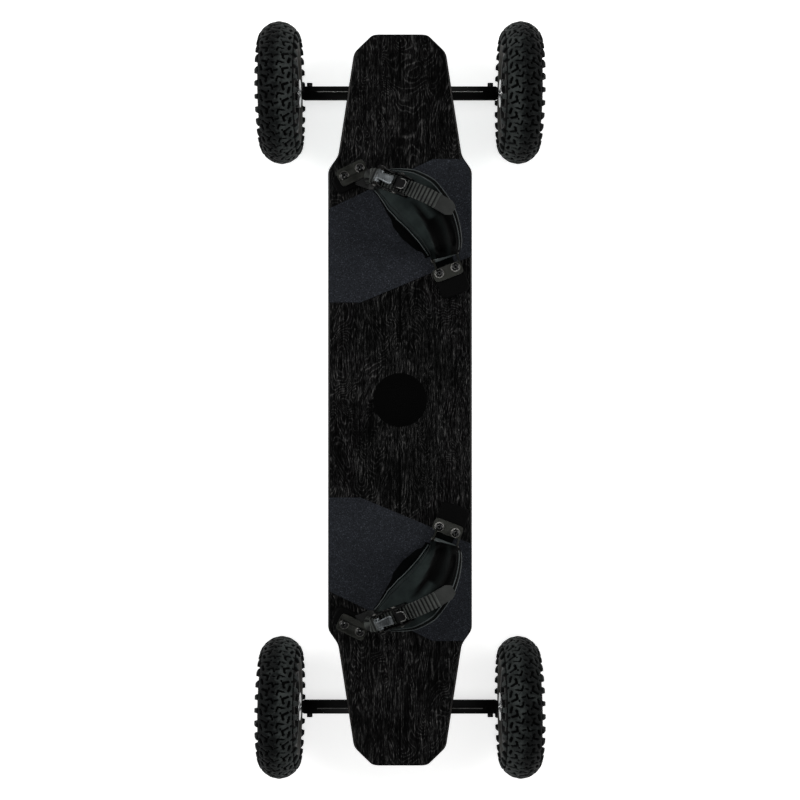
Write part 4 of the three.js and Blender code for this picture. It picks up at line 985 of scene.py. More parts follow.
@dataclass
class Deck:
    """The pressed deck: flat in the middle, tips raised, corners cut off."""

    thickness: float = 13.5
    bend_start: float = 339
    bend_radius: float = 130
    tip_degrees: float = 10
    edge: float = 2.6
    flare: tuple[tuple[float, float], tuple[float, float]] = ((321, 0.0), (341, 86.5))
    shoulder: tuple[float, float] = (479, 63.5)
    end_half: float = 37.5
    corner_reach: float = 6
    disc_radius: float = 37.5

    @cached_property
    def length(self) -> float:
        """Length of the deck in plan."""
        return 2 * float(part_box("deck")[1][1]) / MM

    @cached_property
    def corners(self) -> list[tuple[float, float]]:
        """Corners of a quarter of the plan as (y, x): straight side, flare, taper, cut corner and end."""
        half = float(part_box("deck")[1][0]) / MM
        tip = self.length / 2
        (flare_start, _), flare_end = self.flare
        return [(0, half), (flare_start, half), flare_end, self.shoulder, (tip, self.end_half), (tip, 0)]

    @cached_property
    def underside(self) -> float:
        """Height of the flat middle of the underside."""
        return deck_top() - self.thickness

    @cached_property
    def side_lines(self) -> tuple[Array, Array]:
        """Lines of the underside and the top as (y, z) from the middle to past the tip: flat, arc, straight."""
        lines = []
        for offset in (0.0, self.thickness):
            angle = np.radians(np.linspace(0, self.tip_degrees, 9))
            radius = self.bend_radius - offset
            level = self.underside + offset
            arc = np.stack([self.bend_start + radius * np.sin(angle), level + radius * (1 - np.cos(angle))], 1)
            far = arc[-1] + 300 * np.array([np.cos(angle[-1]), np.sin(angle[-1])])
            lines.append(np.vstack([[0, level], arc, far]))
        return lines[0], lines[1]

    def heights(self, y: Array) -> tuple[Array, Array]:
        """Returns the heights of the underside and of the top at distances y from the middle."""
        low, high = self.side_lines
        return np.interp(np.abs(y), *low.T), np.interp(np.abs(y), *high.T)

    def build(self) -> None:
        """Makes the deck: at each station along it, a ring round the section with rounded edges."""
        half = softened(self.corners, self.corner_reach, 5, closed=False)
        tip = self.length / 2
        keep = half[:, 0] < tip - 1e-6
        half = np.vstack([half[keep], [[tip, half[~keep][0, 1]]]])
        rounding = tip - self.edge * (1 - np.cos(np.linspace(0, np.pi / 2, 5)))
        stations = np.unique(np.concatenate([half[:, 0], np.linspace(0, tip - 1, 90), rounding]))
        width = np.interp(stations, *half.T)
        y = np.concatenate([-stations[:0:-1], stations])
        width = np.concatenate([width[:0:-1], width])
        low, high = self.heights(y)
        inside = self.edge - np.clip(tip - np.abs(y), 0, self.edge)
        inset = self.edge - np.sqrt(np.clip(self.edge**2 - inside**2, 0, None))
        low, high, width = low + inset, high - inset, width - inset
        bend = np.linspace(0, np.pi / 2, 4)
        rim_x, rim_z = 1 - np.cos(bend), 1 - np.sin(bend)
        share = np.linspace(-1, 1, 9)[1:-1]
        flat = width - self.edge
        ones = np.ones_like
        columns = (
            [(flat * s, low) for s in share]
            + [(flat + self.edge * (1 - c), low + self.edge * s) for c, s in zip(rim_x[::-1], rim_z[::-1])]
            + [(flat + self.edge * (1 - c), high - self.edge * s) for c, s in zip(rim_x, rim_z)]
            + [(flat * s, high) for s in share[::-1]]
            + [(-flat - self.edge * (1 - c), high - self.edge * s) for c, s in zip(rim_x[::-1], rim_z[::-1])]
            + [(-flat - self.edge * (1 - c), low + self.edge * s) for c, s in zip(rim_x, rim_z)]
        )
        rows = np.stack([np.stack([x * ones(y), y, z * ones(y)], 1) for x, z in columns], 1)
        # Round the section: print below, the rim's layers, veneer above, the other rim.
        step, rim = len(share), 2 * len(bend)
        kinds = np.repeat([2, 1, 0, 1], [step, rim, step, rim])
        kinds[[-1, step - 1]] = 2
        kinds[step + rim - 1] = 0
        patch = ring_grid(rows, finish=kinds)
        finishes = [Finishes.ash, Finishes.edge, Finishes.print]
        Piece("deck_board", "board", [patch], finishes, "deck", ("deck",), sharp=60).build()
        disc = rod(self.disc_radius, deck_top() - 0.05, deck_top() + 0.12, 0.05, 96)
        Piece("deck_centre_disc", "board", [disc], [Finishes.disc], "deck").build()
        for end in End:
            repaint(f"grip_pad_{end.value}", Finishes.grit)


@dataclass
class Wheel:
    """A wheel: tyre with chevron and side knobs, two hub halves, bearings and a dust washer."""

    pitches: int = 28
    columns: int = 24
    knob_height: float = 4.0
    tread_half: float = 24.0
    lug_span: tuple[float, float] = (25.6, 35.5)
    spokes: int = 5
    screw_circle: float = 32.0
    inner_reach: float = 25.0
    outer_reach: float = 17.0
    # Each groove's middle line from (u, v) to (u, v), its half width and its share of the knobs' height.
    cuts: tuple[tuple[float, ...], ...] = (
        (2.2, -5.8, 3.8, 0.0, 0.9, 1.0),
        (3.8, 0.0, 11.0, -1.5, 0.9, 1.0),
        (0.0, 8.4, 3.2, 9.6, 0.9, 0.9),
        (7.5, 13.4, 7.6, 14.8, 0.9, 0.8),
        (11.0, 4.8, 9.8, 11.3, 1.2, 1.0),
        (9.8, 11.3, 17.0, 14.6, 1.3, 1.0),
        (17.3, 0.6, 19.3, 7.4, 1.5, 1.0),
        (21.6, 16.0, 24.5, 17.6, 1.1, 1.0),
        (0.2, -7.0, 8.6, 6.5, 0.55, 0.3),
        (2.0, 16.6, 10.0, 20.4, 0.55, 0.25),
    )
    # Half of the casing's section as (offset from the middle plane, radius), from bead to crown.
    casing: tuple[tuple[float, float], ...] = (
        (13.6, 52.6),
        (18.6, 53.0),
        (22.0, 57.5),
        (24.6, 64.0),
        (26.0, 71.5),
        (25.6, 78.0),
        (23.2, 83.4),
        (18.2, 88.6),
        (10.5, 93.6),
        (0.0, 96.0),
    )
    inside: tuple[tuple[float, float], ...] = ((13.8, 55.0), (20.0, 72.0), (17.0, 84.0), (0.0, 90.0))

    @cached_property
    def casing_rows(self) -> tuple[Array, Array]:
        """Points (offset, radius) and outward normals across the casing, from bead to bead, evenly spaced."""
        half = np.array(self.casing)
        full = np.vstack([half * [-1, 1], half[-2::-1]])
        chord = np.concatenate([[0], np.cumsum(np.linalg.norm(np.diff(full, axis=0), axis=1))])
        # Rows are close together on the tread and wide apart on the sidewalls.
        half = chord[-1] / 2
        tread = np.arange(-38.0, 38.1, 1.0)
        wall = np.linspace(-half, tread[0], 13)[:-1]
        place = half + np.concatenate([wall, tread, -wall[::-1]])
        points = np.stack([np.interp(place, chord, full[:, i]) for i in (0, 1)], 1)
        for _ in range(3):
            points[1:-1] = (points[:-2] + 2 * points[1:-1] + points[2:]) / 4
        ahead = unit(np.gradient(points, axis=0))
        return points, np.stack([-ahead[:, 1], ahead[:, 0]], 1)

    def knobs(self, across: Array, phase: Array) -> Array:
        """Height share of the tread: land cut by short hooked grooves, and square lugs on both shoulders.

        A groove is where the distance to its middle line is under its half width. The left half of the
        tread is the right half mirrored and moved on by half a pitch.

        Args:
            across: Signed distance along the section from the crown, in millimetres.
            phase: Place round the tyre in pitches.

        Returns:
            0 in the grooves and 1 on the land and the lugs.
        """
        pitch = 2 * np.pi * (self.casing[-1][1] + self.knob_height) / self.pitches
        far = np.abs(across)
        turn_share = np.mod(phase + np.where(across > 0, 0.5, 0.0), 1.0)
        run = turn_share * pitch
        land = (1 - smooth(far, self.tread_half - 0.6, self.tread_half + 0.6)) * np.ones_like(run)
        for u0, v0, u1, v1, half_width, depth in self.cuts:
            length = (u1 - u0) ** 2 + (v1 - v0) ** 2
            gap = np.full_like(run, np.inf)
            for lap in (-1, 0, 1):
                du, dv = far - u0, run + lap * pitch - v0
                share = np.clip((du * (u1 - u0) + dv * (v1 - v0)) / length, 0, 1)
                gap = np.minimum(gap, np.hypot(du - share * (u1 - u0), dv - share * (v1 - v0)))
            land = np.minimum(land, 1 - depth * (1 - smooth(gap, half_width - 0.35, half_width + 0.45)))
        low, high = self.lug_span
        along = smooth(turn_share, 0.02, 0.09) * (1 - smooth(turn_share, 0.4, 0.47))
        lug = along * smooth(far, low - 0.7, low + 0.5) * (1 - smooth(far, high - 0.8, high + 0.8))
        return np.maximum(land, lug)

    def tyre(self) -> Patch:
        """Raises the tread on the casing: each point moves along the casing's normal by the knob's height."""
        section, normal = self.casing_rows
        gone = np.concatenate([[0], np.cumsum(np.linalg.norm(np.diff(section, axis=0), axis=1))])
        across = (gone - gone[-1] / 2)[:, None]
        around = self.pitches * self.columns
        angle = np.arange(around)[None] * 2 * np.pi / around
        high = self.knobs(across, angle * self.pitches / (2 * np.pi))
        far = np.abs(across)
        rib = 0.5 * (smooth(far, 43, 44) - smooth(far, 45.5, 46.5))
        rise = self.knob_height * high + rib
        offset = section[:, :1] + normal[:, :1] * rise
        radius = section[:, 1:] + normal[:, 1:] * rise
        outer = np.stack([offset * np.ones_like(angle), radius * np.sin(angle), -radius * np.cos(angle)], -1)
        half = np.array(self.inside)
        line = np.vstack([half, half[-2::-1] * [-1, 1]])
        inner = np.stack(
            [np.repeat(line[:, :1], around, 1), line[:, 1:] * np.sin(angle), -line[:, 1:] * np.cos(angle)], -1
        )
        patch = ring_grid(np.concatenate([outer, inner]), closed_rows=True)
        # Painted highlight makes the block rims paler, and painted light makes the side towards the truck paler
        # than the outer one.
        rim = 0.2 * np.clip(1 - np.abs(high - 0.8) / 0.2, 0, 1)
        painted_side_light = 0.16 * smooth(-across, -4.0, 8.0) * high
        zone = np.maximum(0.45 * high + rim + painted_side_light, smooth(far, 35.5, 41.0))
        patch.values["zone"] = np.concatenate([zone, np.zeros(inner.shape[:2])]).reshape(-1)
        return patch

    def hub_half(self, reach: float) -> list[Patch]:
        """Makes one hub half: rim, barrel and five tapered spokes, along Z from the wheel's middle plane."""
        seat = [(48.4, 0.15), (51.6, 0.15), (51.6, 20.4), (56.8, 20.6)]
        wall = [(56.9, 22.6), (49.5, 22.6), (46.0, 14.0), (44.6, 0.15)]
        rim = lathe([*seat, *wall], 0.9, 96)
        lip = lathe([(46.4, 0.15), (46.4, 7.0), (41.0, 7.4), (41.0, 0.15)], 0.6, 96)
        barrel = tube(14.1, 20.0, 0.15, reach, 1.0, 72)
        boss = tube(14.1, 24.5, 0.15, 7.5, 1.4, 72)
        share = np.linspace(0, 1, 9)
        radius = 19 + 25.5 * share
        half_width = 8.2 - 3.4 * np.sin(share * np.pi / 2) + 2.6 * smooth(share, 0.75, 1.0)
        depth = 13.5 - 5.5 * share
        corner = softened([(-1, 0), (1, 0), (1, 1), (-1, 1)], 0.25)
        spoke = stations(radius, half_width[:, None] * corner[:, 0], 0.3 + depth[:, None] * corner[:, 1])
        step = 360 / self.spokes
        return [rim, lip, barrel, boss, *(spoke.placed(turn("Z", step * (i + 0.5))) for i in range(self.spokes))]

    def build(self, end: End, side: Side) -> None:
        """Makes the wheel of one corner in its place."""
        tag = f"{end.value}_{side.value}"
        body = f"wheel_{tag}"
        stand = shift(*place_of(f"spin_{tag}"))
        if (side is Side.LEFT) != (end is End.REAR):
            stand = stand @ turn("Z", 180)
        lay = stand @ turn("Y", 90)
        tyre = [self.tyre()]
        Piece(f"tyre_body_{tag}", body, tyre, [Finishes.tyre], "tyre", (f"tyre_{tag}",), stand, sharp=70).build()
        repaint(f"inner_tube_{tag}", Finishes.tube)
        for name, half, reach, spot in (
            ("hub_cap", "hub_outer", self.outer_reach, lay),
            ("hub_back", "hub_inner", self.inner_reach, lay @ turn("X", 180)),
        ):
            patches = self.hub_half(reach)
            Piece(f"{name}_{tag}", body, patches, [Finishes.nylon], "hub", (f"{half}_{tag}",), spot).build()
        bearing = [
            tube(6.3, 14.0, 9.1, 16.9, 0.5, 64, 1),
            tube(6.5, 9.0, -17.0, 9.1, 0.2, 48, 1),
            tube(6.3, 14.0, -24.9, -17.1, 0.5, 64, 1),
            tube(8.6, 12.2, 16.6, 17.05, 0.15, 64, 2),
            tube(6.5, 19.5, -27.9, -26.3, 0.5, 96, 0),
            tube(6.5, 11.0, -26.4, -24.8, 0.3, 64, 0),
        ]
        metals = [Finishes.zinc, Finishes.washer, Finishes.urethane]
        Piece(f"bearings_{tag}", body, bearing, metals, "steel", (f"bearing_set_{tag}",), lay).build()
        screw = rod(2.4, 3, 10.4, 0.4, 24).placed(shift(self.screw_circle, 0, 0))
        screws = [screw.placed(turn("Z", 360 / self.spokes * i)) for i in range(self.spokes)]
        Piece(f"hub_screws_{tag}", body, screws, [Finishes.black_bolt], "steel", (), lay).build()
        hanger = f"hanger_{end.value}"
        stub = [
            rod(5.95, -109.0, 28.6, 0.6, 40),
            prism(hexagon(10.4), 17.4, 25.4, 0.5, 0),
            tube(6.0, 8.6, 24.8, 27.0, 0.5, 40, 1),
        ]
        metals = [Finishes.zinc, Finishes.urethane]
        Piece(f"axle_stub_{tag}", hanger, stub, metals, "steel", (f"axle_{tag}",), lay).build()


@dataclass
class Truck:
    """A lean-to-steer truck: casting with bolts, kingpin with two bushings, and the hanger."""

    tip_degrees: float = 10
    axle_drop: float = 53.5
    ring: tuple[float, float] = (-15.2, -30.5)
    lean_degrees: float = 8
    bolt_x: tuple[float, float] = (-22.5, 22.5)
    bolt_y: tuple[float, float] = (-56.5, 1.5)
    bar_end: float = 137.0
    ridge_span: tuple[float, float] = (30.0, 118.0)
    lock_screw: tuple[float, float] = (129.5, 8.6)

    @cached_property
    def frame(self) -> Array:
        """Place of the front truck: under the raised tip, tilted with it, its ring at the steering joint."""
        tilt = turn("X", self.tip_degrees)
        return shift(*place_of("steer_front")) @ tilt @ shift(0, -self.ring[0], -self.ring[1])

    @cached_property
    def kingpin_frame(self) -> Array:
        """Place of the kingpin's root on the deck's underside, Z along the kingpin to the road."""
        lean = math.radians(self.lean_degrees)
        direction = (0, math.sin(lean), -math.cos(lean))
        depth = -self.ring[1] / math.cos(lean)
        root = (0, self.ring[0] - direction[1] * depth, 0)
        return facing(root, direction)

    def build(self, end: End) -> None:
        """Makes one truck. The rear one is the front one turned half round."""
        place = self.frame if end is End.FRONT else turn("Z", 180) @ self.frame
        self.build_base(end.value, place)
        self.build_kingpin(end.value, place @ self.kingpin_frame)
        self.build_hanger(end.value, place)

    def build_base(self, name: str, place: Array) -> None:
        """Makes the baseplate with its kingpin boss and its four bolts.

        Args:
            name: The end's name.
            place: Place of the truck.
        """
        king = place @ self.kingpin_frame
        recut(f"baseplate_{name}", f"truck_base_{name}", "board", Finishes.casting, 0.9)
        boss = lathe([(6.0, 7.6), (20.3, 2.0), (19.3, 6.0), (16.9, 12.2), (15.5, 13.12), (6.0, 13.12)], 0.8)
        seat = tube(14.6, 17.2, 11.4, 14.6, 0.6, 72)
        Piece(f"truck_boss_{name}", "board", [boss, seat], [Finishes.casting], "truck_metal", (), king).build()
        bolts = []
        for x in self.bolt_x:
            for y in self.bolt_y:
                spot = shift(x, y, -6.3)
                bolts += [
                    prism(hexagon(6.4), -5.6, -1.2, 0.6, 0).placed(spot),
                    tube(3.9, 8.2, -1.6, -0.05, 0.4, 48, 1).placed(spot),
                    rod(3.8, -7.6, -5.2, 0.5, 24, 1).placed(spot),
                ]
        metals = [Finishes.black_bolt, Finishes.plate]
        Piece(f"truck_bolts_{name}", "board", bolts, metals, "truck_metal", (), place).build()
        repaint(f"pivot_cup_{name}", Finishes.urethane)

    def build_kingpin(self, name: str, king: Array) -> None:
        """Makes the two bushings, the kingpin with its washer and thread, and its locknut.

        Args:
            name: The end's name.
            king: Place of the kingpin's root.
        """
        upper = [(5.5, 13.4), (15.0, 13.4), (15.4, 15.5), (14.6, 19.4), (15.4, 23.2), (15.0, 25.4), (5.5, 25.4)]
        lower = [(5.5, 36.1), (13.9, 36.1), (14.1, 38.0), (12.2, 44.0), (11.6, 46.0), (5.5, 46.0)]
        soft = [Finishes.urethane]
        for kind, node, profile in (("upper", "board", upper), ("lower", "road", lower)):
            patches, nodes = [lathe(profile, 0.7)], (f"{node}_bushing_{name}",)
            Piece(f"{kind}_bushing_{name}", "board", patches, soft, "urethane", nodes, king).build()
        pin = [
            rod(4.95, 2.4, 62.6, 0.7, 40),
            prism(hexagon(9.4), 2.4, 6.8, 0.6, 0),
            lathe([(5.0, 46.5), (12.4, 46.5), (12.5, 48.2), (10.6, 49.0), (5.0, 49.0)], 0.5, finish=1),
            *(tube(4.7, 5.05, 59.4 + 0.8 * i, 59.9 + 0.8 * i, 0.12, 36) for i in range(4)),
        ]
        metals = [Finishes.zinc, Finishes.black_bolt]
        Piece(f"kingpin_bolt_{name}", "board", pin, metals, "steel", (f"kingpin_{name}",), king).build()
        nut = [prism(hexagon(9.7), 49.3, 56.6, 0.8, 0), tube(5.3, 8.2, 56.0, 58.6, 0.6, 48, 1)]
        finishes, nodes = [Finishes.black_bolt, Finishes.urethane], (f"kingpin_nut_{name}",)
        Piece(f"kingpin_locknut_{name}", "board", nut, finishes, "black_steel", nodes, king).build()

    def build_hanger(self, name: str, place: Array) -> None:
        """Makes the hanger's bar with painted highlight lines along its ridges, its bushing ring and its lock
        screws.

        Args:
            name: The end's name.
            place: Place of the truck.
        """
        king = place @ self.kingpin_frame
        hanger = f"hanger_{name}"
        recut(f"hanger_{name}", f"hanger_bar_{name}", hanger, Finishes.casting, 1.0)
        ring = lathe([(15.0, 25.75), (18.15, 25.75), (18.25, 35.85), (15.0, 35.85)], 0.9, 96)
        cups = [tube(15.2, 16.6, 24.6, 26.6, 0.5, 72), tube(14.4, 15.8, 35.2, 37.0, 0.5, 72)]
        Piece(f"hanger_ring_{name}", hanger, [ring, *cups], [Finishes.casting], "truck_metal", (), king).build()
        # Painted highlight: pale lines along the top and bottom ridges of the bar, which end just inside its
        # chamfered ends.
        bar = FRAME["nodes"][hanger]
        spots = np.array([bar.matrix_world @ vertex.co for vertex in bar.data.vertices]) / MM
        spots = spots[np.abs(np.abs(spots[:, 0]) - self.bar_end) < 1.5]
        lines = [
            cord_along(np.array([(side * x, y, z) for x in np.linspace(*self.ridge_span, 5)]), 0.5, 8)
            for side in (-1, 1)
            for _, y, z in (spots[spots[:, 2].argmax()], spots[spots[:, 2].argmin()])
        ]
        Piece(f"painted_highlight_ridge_{name}", hanger, lines, [Finishes.painted_highlight], "truck_metal").build()
        screws = []
        for side in (-1, 1):
            spot = facing((side * self.lock_screw[0], self.lock_screw[1], -self.axle_drop), (0, 1, 0))
            screws += [tube(2.2, 4.1, 0, 6.3, 0.6, 32).placed(spot), rod(2.3, 0, 4.6, 0.3, 24, 1).placed(spot)]
        finishes = [Finishes.casting, Finishes.black_bolt]
        Piece(f"lock_screws_{name}", hanger, screws, finishes, "truck_metal", (), place).build()


@dataclass
class Binding:
    """A foot binding: two brackets on rubber blocks, a padded strap, a ladder strap and its ratchet."""

    hinge: tuple[float, float, float] = (65.6, 180.0, 21.0)
    ratchet: tuple[float, float, float] = (-66.5, 316.2, 206.0)
    bar: tuple[float, float, float] = (3.0, 19.0, 15.5)
    bar_radius: float = 2.6
    bolt_spacing: float = 24.0
    plate_top: float = 10.8
    arch: float = 77.0
    width: float = 76.0
    thickness: float = 12.0
    strap_end: tuple[float, float] = (-31.0, 298.0)
    # Points of the strap as shares: across the board, along it, of the arch, of the width and of the thickness.
    shares: tuple[tuple[float, ...], ...] = (
        (0, 0, 0, 0.56, 0.62),
        (0.05, 0.17, 0.46, 0.74, 0.85),
        (0.2, 0.42, 0.87, 0.92, 1),
        (0.43, 0.67, 0.98, 1, 0.95),
        (0.64, 0.83, 0.8, 0.88, 0.75),
        (0.84, 0.94, 0.62, 0.6, 0.5),
        (1, 1, 0.42, 0.34, 0.4),
    )
    # The two pressed teardrops: start and stop along the strap, middle line, its drift and half width across it.
    teardrops: tuple[tuple[float, ...], ...] = ((0.06, 0.54, -0.2, 0.06, 0.3), (0.12, 0.42, 0.5, -0.04, 0.17))
    # Each piping line's place across the strap and its rise over the middle, in half widths and half thicknesses.
    piping: tuple[tuple[float, float], ...] = ((-0.93, 0.5), (0.84, 0.74), (0.99, 0.3))
    piping_radius: float = 0.75
    stitch_lines: tuple[float, float] = (-0.78, 0.7)
    buckle: tuple[float, float, float] = (-9.0, 292.0, 67.3)
    buckle_heading: float = -25.0
    buckle_slope: float = 29.5
    cheek: float = 13.1
    lever_pin: tuple[float, float] = (-19.0, 9.0)
    release_pin: tuple[float, float] = (13.0, 8.0)
    ladder_heading: float = -20.0
    tip_slope: float = -20.0
    straight: float = 31.0
    ladder_width: float = 21.0
    ladder_thickness: float = 2.6
    rib_pitch: float = 5.2

    @cached_property
    def hinge_frame(self) -> Array:
        """Place of the hinge-side bracket between its bolts."""
        x, y, angle = self.hinge
        return shift(x, y, deck_top()) @ turn("Z", angle)

    @cached_property
    def ratchet_frame(self) -> Array:
        """Place of the ratchet-side bracket between its bolts."""
        x, y, angle = self.ratchet
        return shift(x, y, deck_top()) @ turn("Z", angle)

    @cached_property
    def buckle_frame(self) -> Array:
        """Place of the ratchet on the ladder's middle plane, X along the ladder towards its tip."""
        x, y, z = self.buckle
        return shift(x, y, deck_top() + z) @ turn("Z", self.buckle_heading) @ turn("Y", -self.buckle_slope)

    @cached_property
    def strap_points(self) -> Array:
        """Points that the padded strap's middle line passes through."""
        start = (self.hinge_frame @ np.array([*self.bar, 1.0]))[:3]
        rows = np.array(self.shares)
        x = start[0] + (self.strap_end[0] - start[0]) * rows[:, 0]
        y = start[1] + (self.strap_end[1] - start[1]) * rows[:, 1]
        z = start[2] + rows[:, 2] * (self.arch - self.bar[2])
        return np.stack([x, y, z], 1)

    def strap_line(self, share: Array) -> Array:
        """Middle line of the strap: a centripetal spline through its points.

        Args:
            share: Places along it from 0 at the hinge bar to 1 at the buckle's end.

        Returns:
            The points.
        """
        points = self.strap_points
        full = np.vstack([2 * points[0] - points[1], points, 2 * points[-1] - points[-2]])
        place = np.clip(share, 0, 1) * (len(points) - 1)
        low = np.minimum(place.astype(int), len(points) - 2)
        t = (place - low)[:, None]
        p0, p1, p2, p3 = (full[low + i] for i in range(4))
        step = [np.sqrt(np.linalg.norm(b - a, axis=1))[:, None] for a, b in ((p0, p1), (p1, p2), (p2, p3))]
        start = ((p1 - p0) / step[0] - (p2 - p0) / (step[0] + step[1]) + (p2 - p1) / step[1]) * step[1]
        finish = ((p2 - p1) / step[1] - (p3 - p1) / (step[1] + step[2]) + (p3 - p2) / step[2]) * step[1]
        bend = -3 * p1 + 3 * p2 - 2 * start - finish
        swing = 2 * p1 - 2 * p2 + start + finish
        return p1 + start * t + bend * t**2 + swing * t**3

    def strap_frame(self, share: Array) -> tuple[Array, ...]:
        """Returns centre, side, outward normal, half width and half thickness along the strap.

        Args:
            share: Places along the strap.

        Returns:
            The arrays, with the side direction level, towards the nose's side.
        """
        centre = self.strap_line(share)
        even = np.linspace(0, 1, 400)
        back = -unit(np.gradient(self.strap_line(even), axis=0))
        back = unit(np.stack([np.interp(share, even, back[:, i]) for i in range(3)], 1))
        side = unit(np.cross([0, 0, 1.0], back))
        out = np.cross(back, side)
        rows = np.array(self.shares)
        knots = np.linspace(0, 1, len(rows))
        half_width = np.interp(share, knots, rows[:, 3]) * self.width / 2
        half_thick = np.interp(share, knots, rows[:, 4]) * self.thickness / 2
        if len(share) > 9:
            kernel = np.ones(5) / 5
            half_width = np.convolve(np.pad(half_width, 2, mode="edge"), kernel, "valid")
            half_thick = np.convolve(np.pad(half_thick, 2, mode="edge"), kernel, "valid")
        return centre, side, out, half_width, half_thick

    def recess(self, along: Array, across: Array) -> Array:
        """Depth share of the two teardrop recesses pressed into the strap's shell.

        Args:
            along: Place along the strap, 0 to 1.
            across: Place across it, -1 at the foot's side to 1 at the nose's side.

        Returns:
            1 in the recesses and 0 outside, with soft rims.
        """
        total = np.zeros(np.broadcast(along, across).shape)
        for start, stop, middle, drift, widest in self.teardrops:
            share = np.clip((along - start) / (stop - start), 0, 1)
            half = widest * np.sqrt(np.clip(share / 0.14, 0, 1)) * (1 - share) ** 0.8
            gap = np.abs(across - (middle + drift * (share - 0.5)))
            inside = (along > start) & (along < stop)
            total = np.maximum(total, inside * (1 - smooth(gap, half - 0.05, half + 0.03)) * (half > 0.02))
        return total

    def shell(self, share: Array, frame: tuple[Array, ...]) -> Patch:
        """Makes the strap's crowned shell with its recesses, its groove and its painted shade.

        Args:
            share: Places along the strap.
            frame: What strap_frame returns for them.

        Returns:
            The patch, with its flat sheet, and "recess" where it is dark.
        """
        centre, side, out, half_width, half_thick = frame
        angle = np.linspace(0, 2 * np.pi, 97)[:-1]
        flat = np.sign(np.cos(angle)) * np.abs(np.cos(angle)) ** 0.55
        lift = np.sign(np.sin(angle)) * np.abs(np.sin(angle)) ** 0.85
        across = (0.06 + 0.94 * flat)[None]
        top = lift[None] > 0
        along = share[:, None]
        press = self.recess(along, across) * top * np.clip(lift[None] * 3, 0, 1)
        groove = np.exp(-(((np.abs(across - 0.06) - 0.8) / 0.03) ** 2)) * top * 0.8
        crown = 1 + 0.12 * top * (1 - across**2)
        rise = half_thick[:, None] * lift[None] * crown - 2.6 * press - groove
        shell = swept(centre, side, out, np.stack([across * half_width[:, None], rise], -1))
        girth = angle * half_width.mean()
        shell.flat = np.stack(np.broadcast_arrays(run_along(centre)[:, None], girth[None]), -1).reshape(-1, 2)
        # Painted shade: the strap is darkened by the hinge, with a paler line in it, and on the tail under the
        # ratchet. The shell is also darker at both edges.
        # Edge of the painted shade by the hinge, which moves across the strap along it.
        seam = -0.6 + 1.0 * np.clip(along / 0.5, 0, 1) ** 1.3
        painted_hinge_shade = (1 - smooth(along, 0.44, 0.54)) * smooth(across - seam, -0.02, 0.03)
        painted_hinge_shade = painted_hinge_shade * (0.97 - 0.25 * np.exp(-(((across - 0.3) / 0.07) ** 2)))
        painted_hinge_shade = np.maximum(painted_hinge_shade, 0.75 * (1 - smooth(along, 0.06, 0.3)))
        tail = smooth(along, 0.86, 0.95) * 0.85
        rim = smooth(np.abs(across), 0.86, 0.9) * 0.9
        # The recesses are darkened too, for the dark mesh in them and for painted shade.
        dark = np.maximum(np.maximum(press, painted_hinge_shade), np.maximum(tail, rim))
        shell.values["recess"] = dark.reshape(-1)
        return shell

    def border(self, share: Array, frame: tuple[Array, ...]) -> Patch:
        """Makes the lining that shows past the shell's edge at the foot's side, widest near the hinge.

        Args:
            share: Places along the strap.
            frame: What strap_frame returns for them.

        Returns:
            The patch with its flat sheet.
        """
        centre, side, out, half_width, half_thick = frame
        section = softened([(-1.04, -0.75), (-0.55, -1.05), (-0.55, -0.45), (-1.02, -0.3)], 0.08)
        reach = 0.24 * (1 - smooth(share, 0.3, 0.7)) * (0.35 + 0.65 * smooth(share, 0.02, 0.25))
        wider = 1 + reach[:, None] * (section[:, 0] < -0.8)
        across = section[:, 0] * wider * half_width[:, None] - 1.5
        border = swept(centre, side, out, np.stack([across, section[:, 1] * half_thick[:, None]], -1), finish=1)
        girth = np.arange(len(section)) * 3.0
        border.flat = np.stack(np.broadcast_arrays(run_along(centre)[:, None], girth), -1).reshape(-1, 2)
        return border

    def pad(self) -> list[Patch]:
        """Makes the padded strap: shell with recesses, lining border, piping, stitches and hinge loop."""
        share = np.linspace(0.022, 1, 130)
        frame = self.strap_frame(share)
        centre, side, out, half_width, half_thick = frame
        patches = [self.shell(share, frame), self.border(share, frame)]
        keep = slice(6, -3)
        for edge, rise in self.piping:
            line = centre + side * (half_width * edge)[:, None] + out * (half_thick * rise)[:, None]
            patches.append(cord_along(line[keep], self.piping_radius, 10, 2))
        for edge in self.stitch_lines:
            height = half_thick * math.sqrt(1 - edge**4)
            line = centre + side * (half_width * edge)[:, None] + out * height[:, None]
            patches += self.stitches(line[keep], 3.6, 2.2)
        start, direction = self.bar_line
        sleeve = tube(self.bar_radius + 0.4, 3.9, -14.8, 14.8, 0.6, 40, 2).placed(facing(start, direction))
        outline = softened([(-13, 7), (13, 7), (13, 17.5), (-13, 17.5)], 2)
        tongue = prism(outline, 6.0, 12.5, 0.8, 1).placed(self.hinge_frame)
        return [*patches, sleeve, tongue]

    @cached_property
    def bar_line(self) -> tuple[Array, Array]:
        """Middle of the hinge bar and its direction."""
        centre = (self.hinge_frame @ np.array([*self.bar, 1.0]))[:3]
        return centre, self.hinge_frame[:3, 0]

    def stitches(self, line: Array, pitch: float, length: float) -> list[Patch]:
        """Lays short thread runs along a line, each a small faceted spindle."""
        run = run_along(line)
        made = []
        for start in np.arange(pitch, run[-1] - pitch, pitch):
            places = start + np.linspace(-0.5, 0.5, 4) * length
            path = np.stack([np.interp(places, run, line[:, i]) for i in range(3)], 1)
            made.append(cord_along(path, 0.42, 5, 3))
        return made

    def ladder_path(self) -> Array:
        """Middle line of the ladder: level under the lip, up, straight through the ratchet, over the pad."""

        def bezier(corners: Sequence[Array], count: int) -> Array:
            """Returns points of a cubic curve, without its last."""
            t = np.linspace(0, 1, count, endpoint=False)[:, None]
            a, b, c, d = corners
            return (1 - t) ** 3 * a + 3 * (1 - t) ** 2 * t * b + 3 * (1 - t) * t**2 * c + t**3 * d

